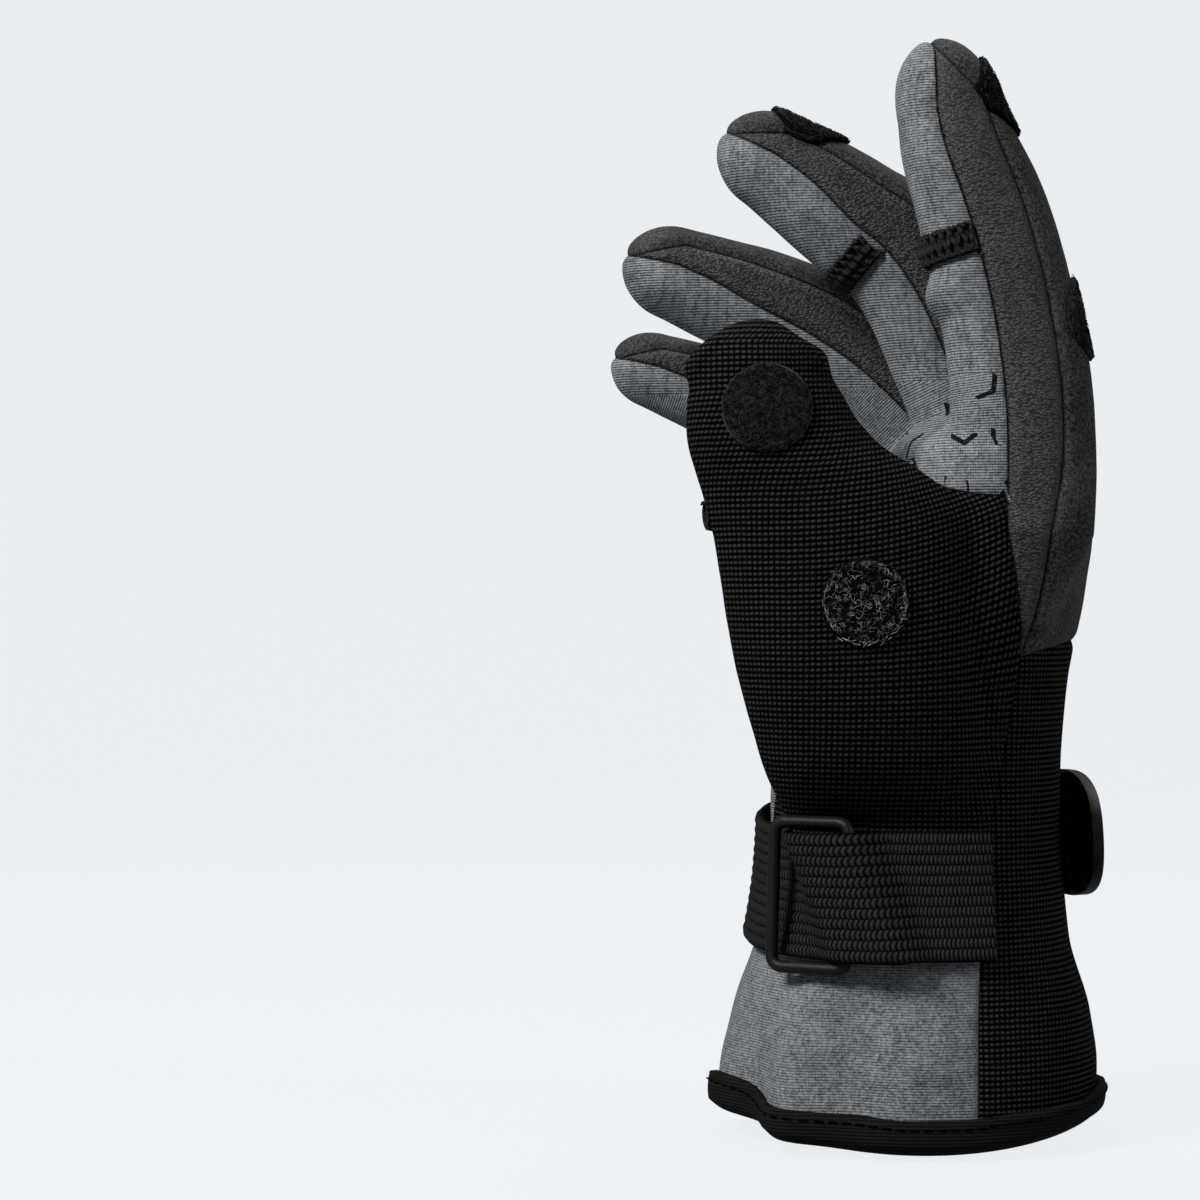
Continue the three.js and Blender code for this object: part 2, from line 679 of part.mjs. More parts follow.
// Materials
const fabric = (name, color, roughness) => new THREE.MeshStandardMaterial({ name, color, roughness, metalness: 0 });
const greyKnit = fabric("grey knit", 0x7e8285, 0.95);
const blackBack = fabric("black stretch back", 0x2b2b2c, 0.85);
const grained = fabric("grained side strip", 0x3c3c3d, 0.7);
const ribbed = fabric("black ribbed knit", 0x121213, 0.9);
const elastic = fabric("black ribbed elastic", 0x1c1c1d, 0.85);
const plastic = fabric("black moulded plastic", 0x202022, 0.5);
const binding = fabric("black binding", 0x19191a, 0.9);
const thread = fabric("black overlock thread", 0x1d1d1e, 0.9);
const loopPile = fabric("black loop pile", 0x161617, 1);
const hooks = fabric("black hook tape", 0x242425, 0.9);

const glove = new THREE.Group();

// A solid's surface as a geometry.
function surface(made) {
  const { vertProperties, triVerts, numProp } = made.getMesh();
  const positions = new Float32Array((vertProperties.length / numProp) * 3);
  for (let i = 0; i < positions.length / 3; i++) {
    positions.set(vertProperties.subarray(i * numProp, i * numProp + 3), i * 3);
  }
  return new THREE.BufferGeometry()
    .setAttribute("position", new THREE.BufferAttribute(positions, 3))
    .setIndex(new THREE.BufferAttribute(triVerts, 1));
}

const largest = (made) => made.decompose().reduce((a, b) => (a.volume() > b.volume() ? a : b));

// Adds the largest body of a solid as a named mesh, with vertices closer than crumb made one.
function addPiece(name, made, material) {
  const geometry = surface(largest(solid(surface(largest(made)), crumb)));
  geometry.computeVertexNormals();
  const mesh = new THREE.Mesh(geometry, material);
  mesh.name = name;
  glove.add(mesh);
}

// Side strips: each finger has one on its thumb side and one on its little-finger side.
let rest = cloth;
for (const finger of fingers) {
  const outline = [...finger.palmSide, ...[...finger.backSide].reverse().slice(1)];
  for (const [side, low, high] of [
    ["thumb_side", finger.low, finger.middle],
    ["little_side", finger.middle, finger.high],
  ]) {
    const longTail = finger.tail && (finger === index) === (side === "thumb_side");
    const foot = finger.tail && !longTail ? 2 : 0;
    const used = foot
      ? [...finger.palmSide.slice(foot), ...[...finger.backSide].reverse().slice(1, -foot)]
      : outline;
    const region = prism(used, longTail ? (low === finger.low ? -outside : low) : low, longTail && high === finger.high ? outside : high);
    addPiece(`strip_${finger.name}_${side}`, rest.intersect(region), grained);
    rest = rest.subtract(region);
  }
}
addPiece("thumb_gusset", rest.intersect(thumbRegion).subtract(cuffBackRegion), ribbed);
rest = rest.subtract(thumbRegion);
addPiece("thumb_tip_palm", rest.intersect(thumbTipRegion), greyKnit);
rest = rest.subtract(thumbTipRegion);
addPiece("cuff_back", rest.intersect(cuffBackRegion), ribbed);
rest = rest.subtract(cuffBackRegion);
addPiece("cuff_palm", rest.intersect(cuffPalmRegion), greyKnit);
rest = rest.subtract(cuffPalmRegion);
addPiece("hand_back", rest.intersect(backRegion), blackBack);
rest = rest.subtract(backRegion);
for (const { digit, plane } of slits) {
  const tipRegion = palmSlab(plane, -slitWidth / 2, 2 * digit.length, digit.low, digit.high, -0.3 * digit.thickness);
  addPiece(`${digit.name}_tip_palm`, rest.intersect(tipRegion), greyKnit);
  rest = rest.subtract(tipRegion);
}
addPiece("palm", rest, greyKnit);

// The binding folds round the hem: outside, under and inside.
const out = layGap;
const inside = -wall - layGap;
const bindingRings = [
  [out + bindingThickness, 0, layGap + bindingThickness],
  [out + bindingThickness, bindingRise, 0],
  [out, bindingRise, 0],
  [out, 0, layGap],
  [inside, 0, layGap],
  [inside, bindingRise, 0],
  [inside - bindingThickness, bindingRise, 0],
  [inside - bindingThickness, 0, layGap + bindingThickness],
].map(([offset, rise, drop]) =>
  handRing(rise, offset, outerFacets.handSides).map((p) => new THREE.Vector3(p.x, p.y, p.z - drop)),
);
addPiece("hem_binding", solid(loop(bindingRings)), binding);

// The elastic strap starts in the wrist seam, rides over the inner bar of the ring, dives through its
// window under the outer bar, and goes round the palm and the little-finger side to the back.
const mmPerDegree = (THREE.MathUtils.degToRad(1) * (wristDepth + wristBreadth)) / 4;
const halfRing = (ringWindow + ringBar) / 2 / mmPerDegree;
const tangent = (degrees) => Math.tan(THREE.MathUtils.degToRad(degrees));
const leanOf = (height) => (tangent(ringLean) * height) / mmPerDegree;
const ringHalfUp = strapWidth / 2 + ringPlay + ringBar / 2;
const tiltOf = (height) => tangent(ringTilt) * (height + ringHalfUp);

function wristHeight(bearing) {
  const way = THREE.MathUtils.smoothstep(bearing, ringBearing, strapEnd);
  return strapHeight + strapClimb * way;
}

// Height above the cloth of the underside of the strap, height being measured from its middle.
function strapLift(bearing, height) {
  const away = (bearing - (ringBearing - halfRing) - leanOf(height)) / (1.2 * halfRing);
  return layGap + strapSeat + (ringSeat + ringBar + 3 * layGap + tiltOf(height)) * Math.exp(-(away ** 4));
}

const strapSections = [];
const clothStep = 360 / outerFacets.handSides;
const ringSteps = [-2.3, -1.85, -1.4, -1, -0.6, -0.2, 0.2, 0.6, 1, 1.4].map((k) => ringBearing + k * halfRing);
const strapSteps = [strapStart, strapEnd, ...ringSteps];
for (let i = 1; i < outerFacets.handSides; i++) {
  const bearing = i * clothStep;
  if (bearing > strapStart && bearing < strapEnd && strapSteps.every((s) => Math.abs(s - bearing) > 1.5)) {
    strapSteps.push(bearing);
  }
}
strapSteps.sort((a, b) => a - b);
for (const bearing of strapSteps) {
  const heights = [-0.5, 0, 0.5].map((share) => share * strapWidth);
  const at = (height, off) =>
    handPoint(
      (wristHeight(bearing) + height) / handHeight,
      bearing,
      strapLift(bearing, height) + off,
    );
  strapSections.push([
    ...heights.map((h) => at(h, 0)),
    ...[...heights].reverse().map((h) => at(h, strapThickness)),
  ]);
}
addPiece("wrist_strap", solid(skin(strapSections)), elastic);

// The tab is sewn on the end of the strap and its round end stands off the back of the wrist.
const tabSections = [];
const tabSteps = 6;
for (let i = 0; i <= tabSteps; i++) {
  const share = i / tabSteps;
  const bearing = strapEnd + (share * tabLength - tabLap) / mmPerDegree;
  const round = Math.sqrt(1 - Math.max(0, (share - 0.1) / 0.93) ** 2);
  const lift = 2 * layGap + strapSeat + strapThickness + tabLift * share ** 1.3;
  const heights = [-0.5, 0, 0.5].map((k) => k * tabWidth * round);
  const at = (height, off) =>
    handPoint((wristHeight(strapEnd) + height) / handHeight, bearing, lift + off);
  tabSections.push([
    ...heights.map((h) => at(h, 0)),
    ...[...heights].reverse().map((h) => at(h, tabThickness)),
  ]);
}
addPiece("strap_tab", solid(skin(tabSections)), plastic);

// The wrist ring is one loop of round bar.
function ringGeometry() {
  const end = (side, off, height) =>
    handPoint(
      (wristHeight(ringBearing) + height) / handHeight,
      ringBearing + side * halfRing + leanOf(height),
      off + ringSeat + ringBar / 2 + tiltOf(height),
    );
  const innerOff = layGap;
  const outerOff = 2 * layGap + strapSeat + strapThickness;
  const innerTop = end(-1, innerOff, ringHalfUp);
  const innerFoot = end(-1, innerOff, -ringHalfUp);
  const outerTop = end(1, outerOff, ringHalfUp);
  const outerFoot = end(1, outerOff, -ringHalfUp);
  const centre = innerTop.clone().add(innerFoot).add(outerTop).add(outerFoot).multiplyScalar(0.25);
  const across = outerTop.clone().add(outerFoot).sub(innerTop).sub(innerFoot).multiplyScalar(0.5);
  const halfAcross = across.length() / 2;
  across.normalize();
  const up = innerTop.clone().add(outerTop).sub(innerFoot).sub(outerFoot).multiplyScalar(0.5);
  up.addScaledVector(across, -up.dot(across)).normalize();
  const halfUp = ringHalfUp;
  const bend = 0.9 * ringBar;
  const path = [];
  for (const [sx, sy, from] of [
    [1, 1, 0],
    [-1, 1, 90],
    [-1, -1, 180],
    [1, -1, 270],
  ]) {
    for (const turn of [0, 30, 60, 90]) {
      const angle = THREE.MathUtils.degToRad(from + turn);
      const x = sx * (halfAcross - bend) + bend * Math.cos(angle);
      const y = sy * (halfUp - bend) + bend * Math.sin(angle);
      path.push(centre.clone().addScaledVector(across, x).addScaledVector(up, y));
    }
  }
  const normal = across.clone().cross(up).normalize();
  const rings = path.map((p, i) => {
    const before = path[(i + path.length - 1) % path.length];
    const after = path[(i + 1) % path.length];
    const side = after.clone().sub(before).normalize().cross(normal);
    return Array.from({ length: 8 }, (_, k) => {
      const angle = (2 * Math.PI * k) / 8;
      return p
        .clone()
        .addScaledVector(side, (ringBar / 2) * Math.cos(angle))
        .addScaledVector(normal, (ringBar / 2) * Math.sin(angle));
    });
  });
  return loop(rings);
}
addPiece("wrist_ring", solid(ringGeometry()), plastic);

// A layer on a digit or on the ball of the thumb, between the cloth and an outer surface.
function layer(ringsOf, thickness) {
  return solid(skin(ringsOf(layGap + thickness))).subtract(solid(skin(ringsOf(layGap))));
}
const onFinger = (finger) => (offset) => fingerRingsOf(finger, offset, outerFacets);
const onThumb = (offset) => thumbRingsOf(offset, outerFacets);

// A round dot of hook or loop tape, laid on a surface where an axis through centre comes out.
function dot(ringsOf, centre, axis) {
  const length = Math.max(indexThickness, middleThickness, thumbThickness);
  const geometry = new THREE.CylinderGeometry(dotDiameter / 2, dotDiameter / 2, length, 16);
  geometry.translate(0, length / 2, 0);
  geometry.applyQuaternion(new THREE.Quaternion().setFromUnitVectors(new THREE.Vector3(0, 1, 0), axis));
  geometry.translate(centre.x, centre.y, centre.z);
  return layer(ringsOf, dotThickness).intersect(solid(geometry));
}

for (const [digit, place, t] of [
  [index, "tip", 1],
  [index, "knuckle", 0.41],
  [middle, "tip", 0.946],
  [middle, "knuckle", 0.45],
]) {
  const { centre, back } = fingerStation(digit, t);
  addPiece(`dot_${digit.name}_${place}`, dot(onFinger(digit), centre, back), place === "tip" ? hooks : loopPile);
}
const thumbDot = (x, rise, side) =>
  dot(
    onThumb,
    new THREE.Vector3(x * thumbWidth, side * thumbThickness, thumbFoot + rise * thumbHeight),
    new THREE.Vector3(0, -1, 0),
  );
addPiece("dot_thumb_tip", thumbDot(-0.6, 0.925, -1.17), loopPile);
addPiece("dot_thumb_ball", thumbDot(-0.24, 0.52, -1.05), hooks);

// Overlocked bands along the slits, on the fold-back tips.
for (const { digit, plane } of slits) {
  const shallow = 0.18 * digit.thickness;
  const slab = palmSlab(plane, 0, slitTrimWidth, digit.low + seamGap, digit.high - seamGap, shallow);
  addPiece(`slit_trim_${digit.name}`, layer(onFinger(digit), slitTrimThickness).intersect(slab), thread);
}
const thumbTrimSlab = prism(
  [
    [-outside, thumbSlitHeight + slitWidth],
    [-0.32 * thumbWidth, thumbSlitHeight + slitWidth],
    [-0.32 * thumbWidth, thumbSlitHeight + slitWidth + slitTrimWidth],
    [-outside, thumbSlitHeight + slitWidth + slitTrimWidth],
  ],
  thumbParting + 2 * seamGap,
  0,
);
addPiece("slit_trim_thumb", layer(onThumb, slitTrimThickness).intersect(thumbTrimSlab), thread);

export default glove;
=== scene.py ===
import math

import bmesh
import bpy
import numpy as np
from mathutils import Matrix, Vector, kdtree, noise
from mathutils.bvhtree import BVHTree


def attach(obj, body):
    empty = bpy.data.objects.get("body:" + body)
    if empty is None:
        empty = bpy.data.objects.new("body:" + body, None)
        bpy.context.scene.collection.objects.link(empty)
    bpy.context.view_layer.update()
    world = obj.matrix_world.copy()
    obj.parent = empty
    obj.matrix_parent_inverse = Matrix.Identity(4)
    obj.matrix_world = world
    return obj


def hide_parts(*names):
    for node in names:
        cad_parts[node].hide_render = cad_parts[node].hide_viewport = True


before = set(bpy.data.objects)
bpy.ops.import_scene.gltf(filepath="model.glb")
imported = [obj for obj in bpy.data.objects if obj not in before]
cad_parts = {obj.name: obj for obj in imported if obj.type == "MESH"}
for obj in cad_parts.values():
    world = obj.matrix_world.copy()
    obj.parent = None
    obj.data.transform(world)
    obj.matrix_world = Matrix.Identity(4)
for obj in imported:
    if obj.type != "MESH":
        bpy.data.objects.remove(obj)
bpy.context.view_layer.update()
MM = 0.001

# ---------------------------------------------------------------------------
# Camera
# It stands level on the thumb side, three quarters of a metre from the glove, and looks
# straight across it, with the palm to the left and the back of the hand to the right.
camera_data = bpy.data.cameras.new("camera")
camera_data.sensor_width = 36
camera_data.lens = 105.75
camera_data.clip_start = 0.05
camera = bpy.data.objects.new("camera", camera_data)
camera.location = (-65.5 * MM, -750 * MM, 111.8 * MM)
camera.rotation_euler = (math.radians(90), 0, 0)
bpy.context.scene.collection.objects.link(camera)
bpy.context.scene.camera = camera

# ---------------------------------------------------------------------------
# The sewn body
# Stretch panels sewn edge to edge into the form of a hand. The whole form is shaped first, from
# sections up the hand, along each finger and up the thumb; then it is cut along the seams, the
# cloth is drawn in at every seam, and each panel gets its own thickness.
wall = 1.7
hand_height = 150.0
cuff_depth, cuff_breadth = 79.0, 86.0
wrist_depth, wrist_breadth = 61.0, 68.0
palm_depth, palm_breadth = 50.0, 94.0
knuckle_drop = 13.0
hem_dip = 4.8
binding_foot = 1.5
fold_wall = 2.4
voxel = 0.8
slit_width = 1.5
slit_share = 0.595  # how far up the index and middle fingers their slits are
uv_unit = 100.0  # one unit of a UV map, in mm


def table(columns, rows):
    """Rows of numbers as a dict of columns."""
    return dict(zip(columns.split(), np.array(rows, float).T))


def sample(rows, t):
    """Every column at shares t of the way down a table, on a smooth curve through its rows."""
    t = np.clip(np.asarray(t, float), 0, 1)
    count = len(next(iter(rows.values())))
    place = t * (count - 1)
    at = np.minimum(place.astype(int), count - 2)
    f = place - at
    out = {}
    for name, values in rows.items():
        a, b, c, d = (values[np.clip(at + k, 0, count - 1)] for k in (-1, 0, 1, 2))
        out[name] = b + 0.5 * f * (
            c - a + f * (2 * a - 5 * b + 4 * c - d + f * (3 * (b - c) + d - a))
        )
    return out


def sample_at(rows, rise):
    """Every column of a table at heights that its own rise column gives."""
    return sample(rows, np.interp(rise, rows["rise"], np.linspace(0, 1, len(rows["rise"]))))


def smoothstep(x, low, high):
    t = np.clip((x - low) / (high - low), 0, 1)
    return t * t * (3 - 2 * t)


hand_rows = table(
    "rise depth breadth back side square",
    [
        [0.0, cuff_depth, cuff_breadth, 0.0, 0.0, 2.1],
        [0.093, 0.995 * cuff_depth, 0.975 * cuff_breadth, 0.005, 0.0, 2.1],
        [0.18, 0.94 * cuff_depth, 0.93 * cuff_breadth, 0.012, 0.0, 2.15],
        [0.253, 1.09 * wrist_depth, 1.12 * wrist_breadth, 0.018, 0.0, 2.2],
        [0.333, 1.03 * wrist_depth, 1.03 * wrist_breadth, 0.026, 0.0, 2.2],
        [0.413, 1.0 * wrist_depth, wrist_breadth, 0.027, 0.0, 2.2],
        [0.493, wrist_depth, 1.03 * wrist_breadth, 0.03, 0.002, 2.2],
        [0.573, 0.977 * wrist_depth, 1.11 * wrist_breadth, 0.056, 0.003, 2.25],
        [0.653, 1.12 * palm_depth, 0.885 * palm_breadth, 0.115, 0.005, 2.3],
        [0.733, 1.05 * palm_depth, 0.948 * palm_breadth, 0.195, 0.005, 2.4],
        [0.813, 0.975 * palm_depth, 0.99 * palm_breadth, 0.262, 0.005, 2.5],
        [0.893, 0.905 * palm_depth, palm_breadth, 0.302, 0.005, 2.5],
        [0.96, 0.8 * palm_depth, 0.97 * palm_breadth, 0.32, 0.0, 2.5],
        [1.0, 0.5 * palm_depth, 0.85 * palm_breadth, 0.32, -0.01, 2.4],
    ],
)
# Soft folds of the cuff: bearing and spread in degrees, depth in fold walls, and the shares of
# the hand height between which the fold fades out
fold_rows = [
    (90, 9, 0.5, 0.08, 0.30),
    (111, 11, -0.9, 0.03, 0.30),
    (131, 9, 1.8, 0.0, 0.30),
    (150, 10, -0.8, 0.0, 0.28),
    (171, 10, 0.7, 0.0, 0.22),
    (205, 16, -0.5, 0.03, 0.28),
    (250, 15, 0.5, 0.0, 0.26),
    (312, 18, -0.35, 0.02, 0.25),
]
finger_columns = "forward rise girth palm_seam back_seam"
fingers = [
    dict(
        name="index",
        breadth=25.0,
        thickness=27.0,
        knuckle=(0.38 * palm_depth, 0.84 * hand_height),
        tip=15.0,
        tail=True,
        rows=table(
            finger_columns,
            [
                [0.0, 0.0, 1.155, -0.11, 0.22],
                [-0.011, 0.14, 1.126, -0.145, 0.267],
                [-0.009, 0.28, 1.074, -0.163, 0.267],
                [0.012, 0.42, 1.03, -0.155, 0.274],
                [0.043, 0.55, 1.01, -0.145, 0.28],
                [0.078, 0.67, 0.96, -0.148, 0.274],
                [0.116, 0.77, 0.872, -0.14, 0.27],
                [0.138, 0.85, 0.775, -0.125, 0.26],
            ],
        ),
    ),
    dict(
        name="middle",
        breadth=24.5,
        thickness=27.0,
        knuckle=(0.36 * palm_depth, 0.907 * hand_height),
        tip=12.0,
        tail=False,
        rows=table(
            finger_columns,
            [
                [0.0, 0.0, 1.126, -0.11, 0.3],
                [0.035, 0.14, 1.052, -0.11, 0.3],
                [0.085, 0.26, 1.007, -0.11, 0.3],
                [0.145, 0.395, 0.993, -0.11, 0.3],
                [0.215, 0.497, 0.993, -0.11, 0.3],
                [0.295, 0.554, 0.963, -0.08, 0.3],
                [0.392, 0.623, 0.874, 0.0, 0.29],
                [0.475, 0.677, 0.756, 0.03, 0.24],
            ],
        ),
    ),
    dict(
        name="ring",
        breadth=23.5,
        thickness=25.5,
        knuckle=(0.4 * palm_depth, 0.88 * hand_height),
        tip=12.0,
        tail=False,
        rows=table(
            finger_columns,
            [
                [0.0, 0.0, 1.145, -0.11, 0.3],
                [0.08, 0.11, 1.08, -0.11, 0.3],
                [0.18, 0.22, 1.035, -0.11, 0.3],
                [0.28, 0.315, 1.01, -0.11, 0.3],
                [0.39, 0.388, 0.99, -0.1, 0.3],
                [0.52, 0.443, 0.95, -0.05, 0.3],
                [0.61, 0.476, 0.88, 0.02, 0.28],
                [0.69, 0.506, 0.8, 0.05, 0.24],
            ],
        ),
    ),
    dict(
        name="little",
        breadth=20.5,
        thickness=22.0,
        knuckle=(0.28 * palm_depth, 0.847 * hand_height),
        tip=10.5,
        tail=True,
        rows=table(
            finger_columns,
            [
                [0.0, 0.0, 1.145, -0.11, 0.25],
                [0.08, 0.07, 1.09, -0.11, 0.28],
                [0.19, 0.145, 1.036, -0.11, 0.3],
                [0.3, 0.205, 1.0, -0.11, 0.3],
                [0.41, 0.257, 0.964, -0.08, 0.3],
                [0.52, 0.303, 0.918, -0.03, 0.3],
                [0.6, 0.334, 0.855, 0.02, 0.28],
                [0.67, 0.358, 0.78, 0.04, 0.24],
            ],
        ),
    ),
]
finger_reach = 100.0
finger_gap = 0.5
spare = 0.5  # each finger is this much slimmer at its sides, so that neighbours stay apart
thumb_foot, thumb_height = 62.0, 95.0
thumb_width, thumb_thickness, thumb_tip = 54.0, 34.0, 11.5
thumb_rows = table(
    "rise front rear side thick",
    [
        [0.0, -0.46, 0.28, -0.44, 0.64],
        [0.14, -0.575, 0.28, -0.71, 1.06],
        [0.225, -0.622, 0.26, -0.82, 1.12],
        [0.31, -0.668, 0.24, -0.91, 1.12],
        [0.395, -0.707, 0.225, -0.97, 1.12],
        [0.48, -0.74, 0.22, -1.03, 1.06],
        [0.57, -0.763, 0.22, -1.06, 1.03],
        [0.655, -0.787, 0.232, -1.09, 1.0],
        [0.715, -0.816, 0.2, -1.12, 0.94],
        [0.765, -0.842, 0.1, -1.13, 0.91],
        [0.8, -0.862, -0.015, -1.15, 0.88],
        [0.842, -0.882, -0.145, -1.16, 0.85],
        [0.895, -0.892, -0.239, -1.18, 0.81],
        [0.95, -0.887, -0.298, -1.18, 0.78],
        [1.0, -0.87, -0.352, -1.18, 0.72],
    ],
)

# The fingers stand side by side, each in a plane of its own
edge = 0.005 * palm_breadth - (sum(f["breadth"] for f in fingers) + 3 * finger_gap) / 2
for finger in fingers:
    finger["low"] = edge - finger_gap / 2
    finger["middle"] = edge + finger["breadth"] / 2
    edge += finger["breadth"] + finger_gap
    finger["high"] = edge - finger_gap / 2
index, middle, _, little = fingers


def round_point(half_x, half_y, square, angle):
    c, s = np.cos(angle), np.sin(angle)
    reach = (np.abs(c) ** square + np.abs(s) ** square) ** (-1 / square)
    return half_x * reach * c, half_y * reach * s


def fold_at(bearing, rise):
    push = 0.0
    for middle_bearing, spread, depth, low, high in fold_rows:
        away = ((bearing - middle_bearing + 540) % 360 - 180) / spread
        along = np.clip((rise - low) / (high - low), 0, 1)
        fade = np.where((rise < low) | (rise > high), 0, np.cos(along * math.pi / 2) ** 2)
        push = push + depth * fold_wall * np.exp(-away * away) * fade
    return push


def hand_point(rise, bearing, offset):
    """A point of the hand part off its surface: bearing 0 is the back and 90 the thumb side."""
    rise = np.asarray(rise, float)
    rows = sample_at(hand_rows, rise)
    angle = np.radians(bearing)
    push = offset + fold_at(np.asarray(bearing, float), rise)
    x, y = round_point(rows["depth"] / 2 + push, rows["breadth"] / 2 + push, rows["square"], angle)
    low = np.maximum(0, 1 - rise / 0.2) ** 2
    drop = knuckle_drop * smoothstep(-y / palm_breadth, -0.05, 0.5) * smoothstep(rise, 0.7, 1.05)
    return np.stack(
        [
            rows["back"] * palm_depth + x,
            rows["side"] * palm_breadth - y,
            binding_foot * (1 - rise)
            + rise * hand_height
            + hem_dip * low * np.cos(angle) ** 2
            - drop,
        ],
        axis=-1,
    )


def finger_centre(finger, t):
    rows = sample(finger["rows"], t)
    x, z = finger["knuckle"]
    return np.stack(
        [
            x - rows["forward"] * finger_reach,
            np.full(np.shape(t), finger["middle"]),
            z + rows["rise"] * finger_reach,
        ],
        axis=-1,
    )


def finger_station(finger, t):
    """Middle, direction along, direction to the back, and the table's values at shares t."""
    t = np.asarray(t, float)
    along = finger_centre(finger, np.minimum(t + 0.01, 1)) - finger_centre(
        finger, np.maximum(t - 0.01, 0)
    )
    along /= np.linalg.norm(along, axis=-1, keepdims=True)
    back = np.stack([along[..., 2], np.zeros(np.shape(t)), -along[..., 0]], axis=-1)
    return finger_centre(finger, t), along, back, sample(finger["rows"], t)


def loft(bm, rings):
    """A closed skin through rings of points, grown ring by ring from its first cap."""
    made = bmesh.ops.create_circle(bm, cap_ends=True, segments=len(rings[0]), radius=0.01)
    face = made["verts"][0].link_faces[0]
    for vertex, point in zip(face.verts, rings[0]):
        vertex.co = point * MM
    for points in rings[1:]:
        grown = bmesh.ops.extrude_face_region(bm, geom=[face])
        face = next(g for g in grown["geom"] if isinstance(g, bmesh.types.BMFace))
        for vertex, point in zip(face.verts, points):
            vertex.co = point * MM


def hand_rings():
    bearings = -np.arange(0, 360, 4.0)
    first = hand_point(0.0, bearings, 0.0)
    rings = [first - np.array([0, 0, 9.0]), first - np.array([0, 0, 4.0])]
    return rings + [hand_point(rise, bearings, 0.0) for rise in np.linspace(0, 1, 52)]


def finger_rings(finger):
    angles = np.linspace(0, 2 * math.pi, 48, endpoint=False)

    def ring_at(t, ahead, shrink):
        centre, along, back, rows = finger_station(finger, t)
        through = rows["girth"] * finger["thickness"] / 2 * shrink
        across = (finger["breadth"] / 2 - spare) * shrink * min(1, rows["girth"] + 0.1)
        x, y = round_point(through, across, 2.2, angles)
        return centre + along * ahead + back * x[:, None] + np.array([0, 1, 0]) * y[:, None]

    rings = [ring_at(0.0, -0.75 * finger["thickness"], 0.55)]
    rings += [ring_at(t, 0, 1) for t in np.linspace(0, 1, 44)]
    for turn in np.linspace(0, math.pi / 2, 11)[1:-1]:
        rings.append(ring_at(1.0, finger["tip"] * math.sin(turn), math.cos(turn)))
    rings.append(ring_at(1.0, finger["tip"], 0.06))
    return rings


def thumb_rings():
    angles = np.linspace(0, 2 * math.pi, 56, endpoint=False)

    def ring_at(t, lift, shrink):
        rows = sample(thumb_rows, t)
        half_x = (rows["rear"] - rows["front"]) / 2 * thumb_width * shrink
        half_y = rows["thick"] * thumb_thickness / 2 * shrink
        x, y = round_point(half_x, half_y, 2.15, angles)
        centre_x = (rows["front"] + rows["rear"]) / 2 * thumb_width
        z = np.full(len(angles), thumb_foot + rows["rise"] * thumb_height + lift)
        return np.stack([centre_x + x, rows["side"] * thumb_thickness + y, z], axis=-1)

    rings = [ring_at(t, 0, 1) for t in np.linspace(0, 1, 48)]
    for turn in np.linspace(0, math.pi / 2, 11)[1:-1]:
        rings.append(ring_at(1.0, thumb_tip * math.sin(turn), math.cos(turn)))
    rings.append(ring_at(1.0, thumb_tip, 0.06))
    return rings


# Where the panels meet. Each line is in X and Z, seen from the thumb side, and the edge of the
# thumb gusset on the palm side is in Y and Z.
strap_line = 50.8
tail_x, tail_z = 0.4 * palm_depth, 0.667 * hand_height


def smooth_line(points, count=60):
    rows = table("x z", points)
    line = sample(rows, np.linspace(0, 1, count))
    return np.stack([line["x"], line["z"]], axis=-1)


wrist_seam = smooth_line(
    [
        (tail_x, tail_z),
        (0.345 * palm_depth, 0.54 * hand_height),
        (0.284 * palm_depth, 0.425 * hand_height),
        (0.25 * palm_depth, 0.33 * hand_height),
        (0.228 * palm_depth, 0.2 * hand_height),
        (0.22 * palm_depth, 0.05 * hand_height),
        (0.22 * palm_depth, -0.1 * hand_height),
    ]
)
web_corner = (0.312 * palm_depth, 0.883 * hand_height)
web_line = smooth_line(
    [
        web_corner,
        (0.14 * palm_depth, 0.89 * hand_height),
        (0.0, 0.915 * hand_height),
        (-0.14 * palm_depth, 0.95 * hand_height),
        (-0.24 * palm_depth, 0.993 * hand_height),
        (-0.28 * palm_depth, 1.06 * hand_height),
        (-0.28 * palm_depth, 1.2 * hand_height),
    ]
)
parting_y = -1.02 * thumb_thickness
parting_line = table(
    "z y",
    [
        (0.25 * hand_height, 0.12 * thumb_thickness),
        (0.38 * hand_height, 0.06 * thumb_thickness),
        (0.46 * hand_height, -0.12 * thumb_thickness),
        (0.57 * hand_height, -0.5 * thumb_thickness),
        (0.69 * hand_height, -0.88 * thumb_thickness),
        (0.8 * hand_height, parting_y),
        (2.0 * hand_height, parting_y),
    ],
)
FAR = 400.0


